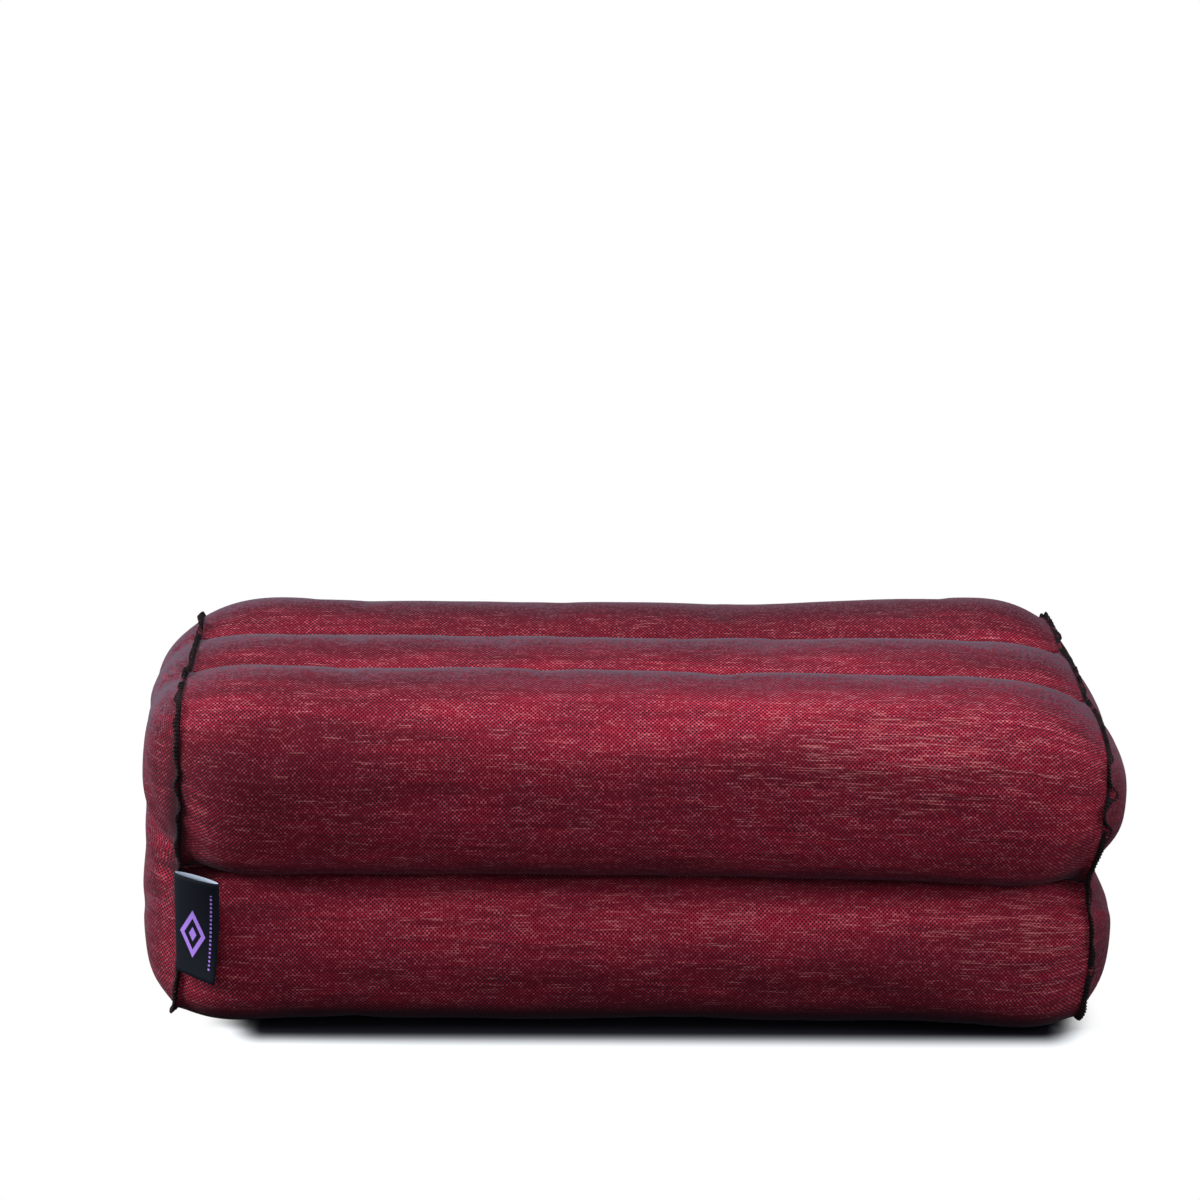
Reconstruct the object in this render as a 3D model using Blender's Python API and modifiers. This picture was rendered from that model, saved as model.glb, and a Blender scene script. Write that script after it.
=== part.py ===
"""Yoga floor cushion: a block of six kapok-filled chambers, three across and two high.

The frame is +X along the cushion's length, -Y towards its labelled face and +Z up. The origin
is on the floor under the middle of the cushion. Every piece of cloth, filling and thread is an
object of its own, and the label is the one piece that moves.
"""

import math
from dataclasses import dataclass

import bmesh
import bpy
from mathutils import Vector

# Driving dimensions, in metres: the end seams' spacing and the outline that they follow.
SEAM_LENGTH = 0.350
END_DEPTH = 0.174
END_BOTTOM = 0.0031
END_TOP = 0.1222
TOP_SQUARENESS = 6.5
FOOT_SQUARENESS = 14.0
LEVEL_HEIGHT = 0.059
WALL_SPACING = 0.059

# Valleys: how far each one dips at an end seam, and where it lies at mid-length.
END_DIP = 0.003
DIP_WIDTH = 0.012
VALLEY_HALF_DEPTH = 0.078
VALLEY_TOP = 0.1175
VALLEY_BOTTOM = 0.010
SWELL_LENGTH = 0.036
SWELL_POWER = 2.6

# The stuffed chambers' outlines at mid-length between their seams, as (y, z) on the back half.
UPPER_LOBE = ((0.088, 0.0573), (0.096, 0.067), (0.098, 0.088), (0.094, 0.110), (0.080, 0.1255),
              (0.060, 0.1298), (0.043, 0.1270))
LOWER_LOBE = ((0.044, 0.0), (0.068, 0.0), (0.086, 0.0012), (0.0965, 0.0095), (0.099, 0.028),
              (0.096, 0.045), (0.088, 0.0552))
MIDDLE_CREST = ((0.015, 0.1255), (0.0, 0.1275), (-0.015, 0.1255))
MIDDLE_BASE = ((-0.019, 0.0015), (-0.010, 0.0), (0.010, 0.0), (0.019, 0.0015))

# Cloth, seam allowances and the clearance between one piece and the next.
CLOTH = 0.0005
GAP = 0.0003
PLY_GAP = 0.0004
ALLOWANCE = 0.006
FIN_HEIGHT = 0.0024
FIN_LEAN = 45.0
FIN_LEAN_LEVEL = 28.0
CASING_WALL = 0.0005
THREAD_RADIUS = 0.0004
THREAD_LIFT = 0.0008

# Bulge of each end panel, and the crease across it at the level of the inner wall.
BULGE_LEFT = 0.0178
BULGE_RIGHT = 0.0130
BULGE_POWER = 8.0
BULGE_START = 1.3
CREASE_LEFT = 0.0040
CREASE_RIGHT = 0.0080
CREASE_WIDTH = 0.012

# How the stuffed cushion has settled: its lift, lean and twist and its back crest's sag, at
# TOP_HEIGHT.
TOP_HEIGHT = 0.120
LIFT = 0.0010
LEAN_LENGTH = -0.0012
LEAN_DEPTH = 0.0005
TWIST = 0.0012
BACK_SAG = 0.0036
# The front corners at the very ends: the left one stands higher and the right one has sunk.
LEFT_RISE = 0.0030
RIGHT_FALL = 0.0090
CORNER_POWER = 10
# The whole lies this far along, so that its middle is over the origin.
SHIFT_ALONG = 0.0030
# The ends are skewed, and the left one stands out a little at its foot and at its back's top.
END_SKEW = 0.0023
LEFT_FOOT = 0.0022
LEFT_REACH = 0.0040
# The right end is deeper and drawn in. Its upper layer reaches past its lower one at the front,
# and its level seam is pinched.
FLARE = 0.09
RIGHT_DRAW = 0.0020
OVERREACH = 0.0040
PINCH = 0.0035
PINCH_WIDTH = 0.014

# Filling: its distance from the cloth and from the inner walls.
KAPOK_INSET = 0.0026

# Side label: a folded ribbon caught in the front left seam beside the lower chamber.
LABEL_WIDTH = 0.0187
LABEL_HEIGHT = 0.039
LABEL_BOTTOM = 0.0225
LABEL_ROOT = (-0.1722, -0.0922)
LABEL_TURN_TOP = 21.0
LABEL_TURN_BOTTOM = 36.0
LABEL_DROOP = 0.14
LABEL_OPENING_TOP = 0.0026
LABEL_OPENING_BOTTOM = 0.0008
RIBBON = 0.0004

HALF_LENGTH = SEAM_LENGTH / 2
END_HALF_DEPTH = END_DEPTH / 2
END_CENTRE_HEIGHT = (END_TOP + END_BOTTOM) / 2
END_HALF_HEIGHT = (END_TOP - END_BOTTOM) / 2
WALL_OFFSET = WALL_SPACING / 2
SEAM_HALF = CLOTH / 2 + GAP
LEFT, RIGHT = -1, 1
# Distances from an end seam at which the cover's sections are cut.
SEAM_DISTANCES = (0.0, 0.004, 0.011, 0.022, 0.042, 0.090)

BURGUNDY = (0.16, 0.018, 0.028)
BLACK_THREAD = (0.012, 0.010, 0.012)
RAW_COTTON = (0.62, 0.56, 0.46)
KAPOK_CREAM = (0.78, 0.70, 0.52)
LABEL_NAVY = (0.010, 0.012, 0.020)


@dataclass(frozen=True)
class Seam:
    """A lengthwise seam, where two cover strips and an inner wall meet.

    Points and directions are (y, z) pairs in the cushion's cross-section.
    """

    name: str
    at_end: tuple
    at_middle: tuple
    outward: tuple
    onward: tuple

    def point(self, swell):
        """The seam's point where the chambers have swollen by swell, from 0 to 1."""
        return mix(self.at_end, self.at_middle, swell)

    def edge(self, swell, side):
        """The fold of the strip that starts (side 1) or ends (side -1) at this seam."""
        y, z = self.point(swell)
        return (y + self.onward[0] * SEAM_HALF * side, z + self.onward[1] * SEAM_HALF * side)


@dataclass(frozen=True)
class Chamber:
    """One stuffed chamber: its centre, its outline between its two seams, and those seams."""

    name: str
    centre: tuple
    lobe: tuple
    start: Seam
    finish: Seam
    segments: int


def mix(a, b, share):
    """The pair that lies a share of the way from pair a to pair b."""
    return (a[0] + (b[0] - a[0]) * share, a[1] + (b[1] - a[1]) * share)


def seams():
    """The six lengthwise seams, in order round the cross-section from the back."""
    low = END_BOTTOM + END_DIP
    high = END_TOP - END_DIP
    side = END_HALF_DEPTH - END_DIP
    level, valley, wall = LEVEL_HEIGHT, VALLEY_HALF_DEPTH, WALL_OFFSET
    return (
        Seam("back", (side, level), (valley, level), (1, 0), (0, 1)),
        Seam("top_back", (wall, high), (wall, VALLEY_TOP), (0, 1), (-1, 0)),
        Seam("top_front", (-wall, high), (-wall, VALLEY_TOP), (0, 1), (-1, 0)),
        Seam("front", (-side, level), (-valley, level), (-1, 0), (0, -1)),
        Seam("bottom_front", (-wall, low), (-wall, VALLEY_BOTTOM), (0, -1), (1, 0)),
        Seam("bottom_back", (wall, low), (wall, VALLEY_BOTTOM), (0, -1), (1, 0)),
    )


def chambers():
    """The six chambers in the seams' order, each between its own seam and the next."""
    ring = seams()
    upper, lower = 0.093, 0.030
    shapes = (
        ("upper_back", (0.0595, upper), UPPER_LOBE, 12),
        ("upper_middle", (0.0, upper), MIDDLE_CREST, 6),
        ("upper_front", (-0.0595, upper), mirrored(UPPER_LOBE), 12),
        ("lower_front", (-0.0595, lower), mirrored(LOWER_LOBE), 12),
        ("lower_middle", (0.0, lower), MIDDLE_BASE, 6),
        ("lower_back", (0.0595, lower), LOWER_LOBE, 12),
    )
    return tuple(
        Chamber(name, centre, lobe, ring[i], ring[(i + 1) % len(ring)], segments)
        for i, (name, centre, lobe, segments) in enumerate(shapes)
    )


def mirrored(lobe):
    """A lobe's points for the front half, in their order round the cross-section."""
    return tuple((-y, z) for y, z in reversed(lobe))


def smooth_curve(points, share):
    """The point at share of the length of a smooth curve through the given (y, z) points."""
    marks = [0.0]
    for a, b in zip(points, points[1:]):
        marks.append(marks[-1] + math.dist(a, b))
    at = min(max(share, 0.0), 1.0) * marks[-1]
    k = min(max(i for i, mark in enumerate(marks) if mark <= at), len(points) - 2)
    slopes = []
    for i in (k, k + 1):
        before, after = max(i - 1, 0), min(i + 1, len(points) - 1)
        span = marks[after] - marks[before]
        slopes.append([(points[after][n] - points[before][n]) / span for n in (0, 1)])
    step = marks[k + 1] - marks[k]
    t = (at - marks[k]) / step
    near, far = (1 + 2 * t) * (1 - t) ** 2, t * t * (3 - 2 * t)
    leave, arrive = t * (1 - t) ** 2 * step, -t * t * (1 - t) * step
    return tuple(
        points[k][n] * near + points[k + 1][n] * far + slopes[0][n] * leave + slopes[1][n] * arrive
        for n in (0, 1)
    )


def swell_at(x):
    """How far the chambers have swollen at x: 0 at the end seams and 1 in the middle."""
    distance = min((HALF_LENGTH - abs(x)) / SWELL_LENGTH, 1.0)
    return 1.0 - (1.0 - max(distance, 0.0)) ** SWELL_POWER


def dip(offset):
    """The dip of the end outline this far from a seam."""
    return END_DIP * math.exp(-((offset / DIP_WIDTH) ** 2))


def end_outline(angle):
    """The end seam's outline in the direction of angle: a squarish oval that dips at each seam."""
    c, s = math.cos(angle), math.sin(angle)
    power = TOP_SQUARENESS if s > 0 else FOOT_SQUARENESS
    size = abs(c / END_HALF_DEPTH) ** power + abs(s / END_HALF_HEIGHT) ** power
    reach = size ** (-1 / power)
    y, z = reach * c, reach * s
    sink = dip(y - WALL_OFFSET) + dip(y + WALL_OFFSET)
    z -= math.copysign(sink * abs(z / END_HALF_HEIGHT) ** power, z)
    height = END_CENTRE_HEIGHT + z
    y -= math.copysign(dip(height - LEVEL_HEIGHT) * abs(y / END_HALF_DEPTH), y)
    return (y, height)


def outward_normal(y, z):
    """The end outline's outward direction nearest to the point (y, z)."""
    angle = math.atan2(z - END_CENTRE_HEIGHT, y)
    step = 0.02
    before, after = end_outline(angle - step), end_outline(angle + step)
    along = Vector((after[0] - before[0], after[1] - before[1])).normalized()
    return (along.y, -along.x)


def pinned(rough, share, start, finish):
    """The point at share along the curve rough, eased so that its ends are start and finish."""
    near, far = (1 - share) ** 4, share**4
    here, first, last = rough(share), rough(0.0), rough(1.0)
    return tuple(
        here[k] + (start[k] - first[k]) * near + (finish[k] - last[k]) * far for k in (0, 1)
    )


def sweep_angles(centre, start, finish):
    """The directions from centre to start and to finish, the second one further round."""
    first = math.atan2(start[1] - centre[1], start[0] - centre[0])
    last = math.atan2(finish[1] - centre[1], finish[0] - centre[0])
    return first, last if last > first else last + 2 * math.pi


def arc_point(chamber, share, swell):
    """A point on the outside of a chamber's cover strip, in the cross-section."""

    def rim(part):
        first, last = sweep_angles((0.0, END_CENTRE_HEIGHT), *ends)
        return end_outline(first + (last - first) * part)

    ends = (chamber.start.edge(0.0, 1), chamber.finish.edge(0.0, -1))
    at_end = pinned(rim, share, *ends)
    ends = (chamber.start.edge(1.0, 1), chamber.finish.edge(1.0, -1))
    at_middle = smooth_curve((ends[0], *chamber.lobe, ends[1]), share)
    y, z = mix(at_end, at_middle, swell)
    return (y, max(z, 0.0))


def settled(x, y, z):
    """Moves a point of the even cushion to where the leaning, twisted cushion has it."""
    along, across, height = x / HALF_LENGTH, y / END_HALF_DEPTH, z / TOP_HEIGHT
    rise = LIFT + LEAN_LENGTH * along + LEAN_DEPTH * across + TWIST * along * across
    rise -= BACK_SAG * max(across, 0.0) ** 2 * max(1 - along**2, 0.0)
    corner = LEFT_RISE if along < 0 else -RIGHT_FALL
    rise += corner * abs(along) ** CORNER_POWER * (0.5 - 0.5 * across) * height**2
    leftward, rightward = max(-along, 0.0) ** 2, max(along, 0.0) ** 2
    reach = OVERREACH * (2 * height - 1) * (0.55 - 0.45 * across)
    pinch = PINCH * math.exp(-(((z - LEVEL_HEIGHT) / PINCH_WIDTH) ** 2))
    shift = rightward * (reach - pinch - RIGHT_DRAW) - leftward * LEFT_FOOT * (1 - height)
    shift += SHIFT_ALONG - END_SKEW * across * along**2
    shift -= leftward * LEFT_REACH * max(across, 0.0) * height
    return Vector((x + shift, y * (1 + FLARE * rightward), z + rise * height))


def seam_point(y, z, end, across, up):
    """A point of an end's seam fin: across its plies and up from the seam, at outline (y, z).

    The fin leans out half-way between the end and the long side, and flatter along the top and
    the foot. Across is positive on the strips' side and negative on the panel's.
    """
    ny, nz = outward_normal(y, z)
    lean = math.radians(FIN_LEAN + (FIN_LEAN_LEVEL - FIN_LEAN) * abs(nz))
    out = math.sin(lean) * up + math.cos(lean) * across
    x = end * (HALF_LENGTH + math.cos(lean) * up - math.sin(lean) * across)
    return settled(x, y + ny * out, z + nz * out)


def stations():
    """The x of each section of the cover, from the left end seam to the right one."""
    left = [distance - HALF_LENGTH for distance in SEAM_DISTANCES]
    return left + [0.0] + [-x for x in reversed(left)]


def clear_scene():
    """Removes the scene's objects."""
    for item in list(bpy.data.objects):
        bpy.data.objects.remove(item, do_unlink=True)


def new_collection(name):
    """Makes a collection in the scene."""
    collection = bpy.data.collections.new(name)
    bpy.context.scene.collection.children.link(collection)
    return collection


def finish_part(item, name, collection, colour, roughness):
    """Names a part, gives it a material of its own and puts it in the object's collection."""
    item.name = name
    item.data.name = name
    material = bpy.data.materials.new(name)
    material.use_nodes = True
    shader = material.node_tree.nodes["Principled BSDF"]
    shader.inputs["Base Color"].default_value = (*colour, 1.0)
    shader.inputs["Roughness"].default_value = roughness
    shader.inputs["Metallic"].default_value = 0.0
    item.data.materials.clear()
    item.data.materials.append(material)
    for holder in list(item.users_collection):
        holder.objects.unlink(item)
    collection.objects.link(item)
    return item


def smooth(item):
    """Shades a part smooth, with its folds left sharp."""
    item.data.shade_smooth()
    item.data.set_sharp_from_angle(angle=math.radians(50))


def grid_sheet(columns, rows, place, keep=None, flip=False):
    """A sheet of cloth from a grid, with no thickness yet.

    place(i, j) gives the point of column i and row j. keep(i, j) says whether the cell that
    starts there stays. flip turns the faces to the other side.
    """
    bpy.ops.mesh.primitive_grid_add(x_subdivisions=columns, y_subdivisions=rows, size=2)
    item = bpy.context.object
    sheet = bmesh.new()
    sheet.from_mesh(item.data)
    index = {}
    for vertex in sheet.verts:
        i = round((vertex.co.x + 1) / 2 * columns)
        j = round((vertex.co.y + 1) / 2 * rows)
        index[vertex] = (i, j)
    if keep:
        cells = {face: [index[vertex] for vertex in face.verts] for face in sheet.faces}
        gone = [f for f, spots in cells.items() if not keep(*map(min, zip(*spots)))]
        bmesh.ops.delete(sheet, geom=gone, context="FACES")
    for vertex in sheet.verts:
        vertex.co = place(*index[vertex])
    if flip:
        bmesh.ops.reverse_faces(sheet, faces=sheet.faces)
    sheet.to_mesh(item.data)
    sheet.free()
    return item


def loft(rings, closed_path=False, cap=True, tip=None):
    """A surface through closed rings of points.

    Its ends are flat (cap), joined to each other (closed_path) or, with tip, open at the first
    ring and drawn to that point past the last one.
    """
    mesh = bpy.data.meshes.new("loft")
    skin = bmesh.new()
    loops = [[skin.verts.new(point) for point in ring] for ring in rings]
    pairs = list(zip(loops, loops[1:]))
    if closed_path:
        pairs.append((loops[-1], loops[0]))
    for a, b in pairs:
        count = len(a)
        for k in range(count):
            skin.faces.new((a[k], a[(k + 1) % count], b[(k + 1) % count], b[k]))
    if tip:
        point, last = skin.verts.new(tip), loops[-1]
        for k in range(len(last)):
            skin.faces.new((last[k], last[(k + 1) % len(last)], point))
    elif cap and not closed_path:
        skin.faces.new(reversed(loops[0]))
        skin.faces.new(loops[-1])
    bmesh.ops.recalc_face_normals(skin, faces=skin.faces)
    skin.to_mesh(mesh)
    skin.free()
    item = bpy.data.objects.new("loft", mesh)
    bpy.context.scene.collection.objects.link(item)
    return item


def face_out(item, direction):
    """Turns a sheet's faces so that they look along direction rather than against it."""
    total = sum((face.normal * face.area for face in item.data.polygons), Vector())
    if total.dot(direction) < 0:
        item.data.flip_normals()


def thicken(item, thickness, offset):
    """Gives a sheet its thickness, on the inner side (offset -1) or on both sides (0)."""
    modifier = item.modifiers.new("Cloth", "SOLIDIFY")
    modifier.thickness = thickness
    modifier.offset = offset
    modifier.use_even_offset = True
    modifier.thickness_clamp = 0.0


def cover_strip(chamber, collection):
    """The outer cloth of a chamber, with a flange turned in at each long seam and a fin at each end."""
    xs = stations()
    columns, rows = len(xs) + 1, chamber.segments + 2

    def place(i, j):
        share = (j - 1) / chamber.segments
        if j in (0, rows):
            seam = chamber.start if j == 0 else chamber.finish
            x = xs[min(max(i - 1, 0), len(xs) - 1)]
            y, z = seam.edge(swell_at(x), 1 if j == 0 else -1)
            return settled(x, y - seam.outward[0] * ALLOWANCE, z - seam.outward[1] * ALLOWANCE)
        ply = CLOTH + PLY_GAP / 2
        if i in (0, 1):
            return seam_point(*arc_point(chamber, share, 0.0), LEFT, ply, FIN_HEIGHT * (1 - i))
        if i >= columns - 1:
            up = FIN_HEIGHT * (i - columns + 1)
            return seam_point(*arc_point(chamber, share, 0.0), RIGHT, ply, up)
        x = xs[i - 1]
        return settled(x, *arc_point(chamber, share, swell_at(x)))

    def keep(i, j):
        flange = j in (0, rows - 1)
        return not flange or 3 <= i <= columns - 4

    strip = grid_sheet(columns, rows, place, keep, flip=True)
    thicken(strip, CLOTH, -1.0)
    smooth(strip)
    return finish_part(strip, f"cover_{chamber.name}", collection, BURGUNDY, 0.9)


def end_ring():
    """The end outline's points, in order round it, with one at each lengthwise seam."""
    ring = []
    for chamber in chambers():
        ring.append(chamber.start.at_end)
        for k in range(1, chamber.segments):
            ring.append(arc_point(chamber, k / chamber.segments, 0.0))
    return ring


def panel_bulge(z, spread, end):
    """How far an end panel stands out past its seam, at spread (0 centre, 1 rim)."""
    full, depth = (BULGE_LEFT, CREASE_LEFT) if end == LEFT else (BULGE_RIGHT, CREASE_RIGHT)
    crease = depth * math.exp(-(((z - LEVEL_HEIGHT) / CREASE_WIDTH) ** 2))
    return full * (1 - spread**BULGE_POWER) ** BULGE_START - crease * (1 - spread**4)


def end_panel(end, collection):
    """The cloth that closes one end, bulged by the filling, with its rim turned out as a fin."""
    outline = end_ring()
    ply = -(CLOTH + PLY_GAP / 2)
    rings = [[seam_point(y, z, end, ply, up) for y, z in outline] for up in (FIN_HEIGHT, 0.0)]

    def bulged(y, z, spread):
        height = LEVEL_HEIGHT + (z - LEVEL_HEIGHT) * spread
        x = end * (HALF_LENGTH + panel_bulge(height, spread, end))
        return settled(x, y * spread, height)

    for spread in (0.90, 0.72, 0.46, 0.20):
        rings.append([bulged(y, z, spread) for y, z in outline])
    panel = loft(rings, tip=bulged(0.0, LEVEL_HEIGHT, 0.0))
    face_out(panel, Vector((end, 0.0, 0.0)))
    thicken(panel, CLOTH, -1.0)
    smooth(panel)
    side = "left" if end == LEFT else "right"
    return finish_part(panel, f"end_panel_{side}", collection, BURGUNDY, 0.9)


def overlock_casing(end, collection):
    """The overlock thread round one end's fin: a channel closed over both plies' raw edges."""
    inner = CLOTH + PLY_GAP / 2 + GAP
    outer = inner + CASING_WALL
    foot, shoulder = 0.0006, FIN_HEIGHT + GAP
    crown = shoulder + CASING_WALL
    section = (
        (outer, foot),
        (outer, crown),
        (-outer, crown),
        (-outer, foot),
        (-inner, foot),
        (-inner, shoulder),
        (inner, shoulder),
        (inner, foot),
    )
    rings = [
        [seam_point(y, z, end, across, up) for across, up in section] for y, z in end_ring()
    ]
    casing = loft(rings, closed_path=True)
    smooth(casing)
    side = "left" if end == LEFT else "right"
    return finish_part(casing, f"overlock_{side}", collection, BLACK_THREAD, 0.8)


def wall_sheet(place, columns, rows, name, collection):
    """A flat inner wall of raw cotton, cloth-thick about its own middle plane."""
    wall = grid_sheet(columns, rows, place)
    thicken(wall, CLOTH, 0.0)
    smooth(wall)
    return finish_part(wall, name, collection, RAW_COTTON, 0.95)


def inner_walls(collection):
    """The level wall between the two layers and the four walls that stand between chambers."""
    short = HALF_LENGTH - 0.003
    xs = [-short, *stations()[1:-1], short]
    seam = {item.name: item for item in seams()}

    def level(i, j):
        edge, z = seam["back"].point(swell_at(xs[i]))
        folds = (GAP - edge, -WALL_OFFSET, 0.0, WALL_OFFSET, edge - GAP)
        return settled(xs[i], folds[j], z)

    wall_sheet(level, len(xs) - 1, 4, "inner_wall_level", collection)
    clear = CLOTH / 2 + GAP
    for name in ("top_front", "top_back", "bottom_front", "bottom_back"):
        rise = seam[name].outward[1]

        def upright(i, j, edge=seam[name], rise=rise):
            y, z = edge.point(swell_at(xs[i]))
            return settled(xs[i], y, z - rise * GAP if j else LEVEL_HEIGHT + rise * clear)

        wall_sheet(upright, len(xs) - 1, 1, f"inner_wall_{name}", collection)


def kapok_ring(chamber, swell):
    """The filling's cross-section: the strip's arc drawn in, then the chamber's inner corners."""
    cy, cz = chamber.centre
    ring = []
    shares = [k / chamber.segments for k in range(chamber.segments + 1)]
    shares[0], shares[-1] = 0.04, 0.96
    for share in shares:
        y, z = arc_point(chamber, share, swell)
        reach = math.hypot(y - cy, z - cz)
        drawn = 1 - KAPOK_INSET / reach
        ring.append((cy + (y - cy) * drawn, cz + (z - cz) * drawn))
    upper = cz > LEVEL_HEIGHT
    floor = LEVEL_HEIGHT + (KAPOK_INSET if upper else -KAPOK_INSET)
    corners = []
    for seam in (chamber.finish, chamber.start):
        wall = seam.at_end[0]
        if abs(wall) > WALL_OFFSET + CLOTH:
            continue
        inward = math.copysign(KAPOK_INSET, cy - wall)
        corners.append((wall + inward, floor))
    ring += corners
    return [clear_of_walls(chamber, y, z) for y, z in ring]


def clear_of_walls(chamber, y, z):
    """Keeps a point of the filling at its distance from the walls round its chamber."""
    cy, cz = chamber.centre
    upper = cz > LEVEL_HEIGHT
    if upper:
        z = max(z, LEVEL_HEIGHT + KAPOK_INSET)
    else:
        z = min(z, LEVEL_HEIGHT - KAPOK_INSET)
    wall = WALL_OFFSET
    if abs(cy) < wall:
        return (max(min(y, wall - KAPOK_INSET), KAPOK_INSET - wall), z)
    if cy > 0:
        return (max(y, wall + KAPOK_INSET), z)
    return (min(y, -wall - KAPOK_INSET), z)


def kapok_fill(chamber, collection):
    """The kapok that fills one chamber, with a domed end behind each end panel."""
    domes = ((0.48, 0.45), (0.28, 0.66), (-0.10, 0.90))
    sections = [(-HALF_LENGTH - past * BULGE_LEFT, size) for past, size in domes]
    sections += [(x, 1.0) for x in stations()[2:-2]]
    sections += [(HALF_LENGTH + past * BULGE_RIGHT, size) for past, size in reversed(domes)]
    cy, cz = chamber.centre
    rings = []
    for x, size in sections:
        ring = kapok_ring(chamber, swell_at(x))
        rings.append([settled(x, cy + (y - cy) * size, cz + (z - cz) * size) for y, z in ring])
    fill = loft(rings)
    smooth(fill)
    return finish_part(fill, f"kapok_{chamber.name}", collection, KAPOK_CREAM, 1.0)


def seam_thread(seam, collection):
    """The thread that lies along the bottom of one valley, over the edges that it joins."""
    curve = bpy.data.curves.new(seam.name, "CURVE")
    curve.dimensions = "3D"
    curve.bevel_depth = THREAD_RADIUS
    curve.bevel_resolution = 2
    curve.use_fill_caps = True
    short = HALF_LENGTH - 0.004
    xs = [-short, *stations()[2:-2], short]
    spline = curve.splines.new("POLY")
    spline.points.add(len(xs) - 1)
    for point, x in zip(spline.points, xs):
        y, z = seam.point(swell_at(x))
        lifted = (y + seam.outward[0] * THREAD_LIFT, z + seam.outward[1] * THREAD_LIFT)
        point.co = (*settled(x, *lifted), 1.0)
    thread = bpy.data.objects.new(seam.name, curve)
    bpy.context.scene.collection.objects.link(thread)
    return finish_part(thread, f"seam_thread_{seam.name}", collection, BURGUNDY, 0.8)


def side_label(collection):
    """The folded ribbon, hung from an empty on the line where the seam holds it."""
    hinge = bpy.data.objects.new("side_label_hinge", None)
    hinge.location = (*LABEL_ROOT, 0.0)
    collection.objects.link(hinge)
    columns, rows = 12, 4
    start = (RIBBON + GAP) / 2

    def place(i, j):
        share = i / columns
        turn = 2 * math.pi * share
        opening = LABEL_OPENING_BOTTOM + (LABEL_OPENING_TOP - LABEL_OPENING_BOTTOM) * j / rows
        reach = LABEL_WIDTH * (1 - math.cos(turn)) / 2
        spread = start * math.cos(turn / 2) + opening * math.sin(turn)
        height = LABEL_BOTTOM + LABEL_HEIGHT * j / rows - LABEL_DROOP * reach
        curl = LABEL_TURN_TOP + (LABEL_TURN_BOTTOM - LABEL_TURN_TOP) * (1 - j / rows) ** 2
        aim = math.radians(curl)
        return Vector((reach * math.cos(aim), spread - reach * math.sin(aim), height))

    label = grid_sheet(columns, rows, place)
    thicken(label, RIBBON, 0.0)
    smooth(label)
    finish_part(label, "side_label", collection, LABEL_NAVY, 0.55)
    label.parent = hinge
    return label


def main():
    """Builds every piece of the cushion."""
    clear_scene()
    collection = new_collection("yoga_floor_cushion")
    for chamber in chambers():
        cover_strip(chamber, collection)
        kapok_fill(chamber, collection)
    for end in (LEFT, RIGHT):
        end_panel(end, collection)
        overlock_casing(end, collection)
    inner_walls(collection)
    for seam in seams():
        seam_thread(seam, collection)
    side_label(collection)


if __name__ == "__main__":
    main()
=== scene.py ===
"""Looks of the yoga floor cushion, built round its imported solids.

The cloth skin is drawn from the same sizes as the solids, blown up by a short cloth simulation
and dressed as shot cotton. Threads, label, filling and stage follow, each as a class of its own.
Everything is in metres: +X along the cushion, -Y towards its labelled face and +Z up.
"""

import logging
import math
from collections.abc import Callable, Sequence
from dataclasses import dataclass, field
from enum import Enum

import bmesh
import bpy
import numpy as np
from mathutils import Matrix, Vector, noise


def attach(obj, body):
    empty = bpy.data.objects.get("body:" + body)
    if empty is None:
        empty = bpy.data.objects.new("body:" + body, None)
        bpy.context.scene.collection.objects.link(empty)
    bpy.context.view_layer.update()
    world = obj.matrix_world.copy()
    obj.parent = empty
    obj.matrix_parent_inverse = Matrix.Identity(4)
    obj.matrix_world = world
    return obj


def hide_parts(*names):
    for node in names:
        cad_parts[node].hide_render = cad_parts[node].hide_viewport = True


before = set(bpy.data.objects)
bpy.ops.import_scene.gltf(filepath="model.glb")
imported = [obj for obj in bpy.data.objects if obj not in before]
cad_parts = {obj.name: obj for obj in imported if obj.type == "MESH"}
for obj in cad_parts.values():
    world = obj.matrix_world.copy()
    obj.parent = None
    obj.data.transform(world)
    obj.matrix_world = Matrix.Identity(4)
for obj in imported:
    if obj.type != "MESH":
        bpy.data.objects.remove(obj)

Pair = tuple[float, float]
Triple = tuple[float, float, float]
Socket = bpy.types.NodeSocket
Item = bpy.types.Object

LOG = logging.getLogger("cushion")
CLOTH_MAP = "Cloth"
CUSHION, LABEL = "cushion", "label"


class End(Enum):
    """An end of the cushion, by the sign of its x."""

    LEFT = -1
    RIGHT = 1

    @property
    def word(self) -> str:
        """The end's name as the pieces have it."""
        return self.name.lower()


class Slot(Enum):
    """The record's material slots."""

    COVER = "cover_cloth"
    OVERLOCK = "overlock_thread"
    SEAM = "seam_thread"
    WALL = "wall_cloth"
    KAPOK = "kapok"
    RIBBON = "label_ribbon"


@dataclass(frozen=True)
class Seam:
    """A lengthwise seam in the cross-section, where two cover strips and a wall meet."""

    name: str
    at_end: Pair
    at_middle: Pair
    outward: Pair
    onward: Pair


@dataclass(frozen=True)
class Chamber:
    """One stuffed chamber: its outline between its two seams, and those seams."""

    name: str
    lobe: tuple[Pair, ...]
    rows: int
    start: Seam
    finish: Seam

    @property
    def is_upper(self) -> bool:
        """Whether it is one of the three on top."""
        return self.name.startswith("upper")

    @property
    def is_middle(self) -> bool:
        """Whether it lies between two others."""
        return self.name.endswith("middle")


def mix(a: Pair, b: Pair, share: float) -> Pair:
    """The pair that lies a share of the way from pair a to pair b."""
    return (a[0] + (b[0] - a[0]) * share, a[1] + (b[1] - a[1]) * share)


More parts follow.
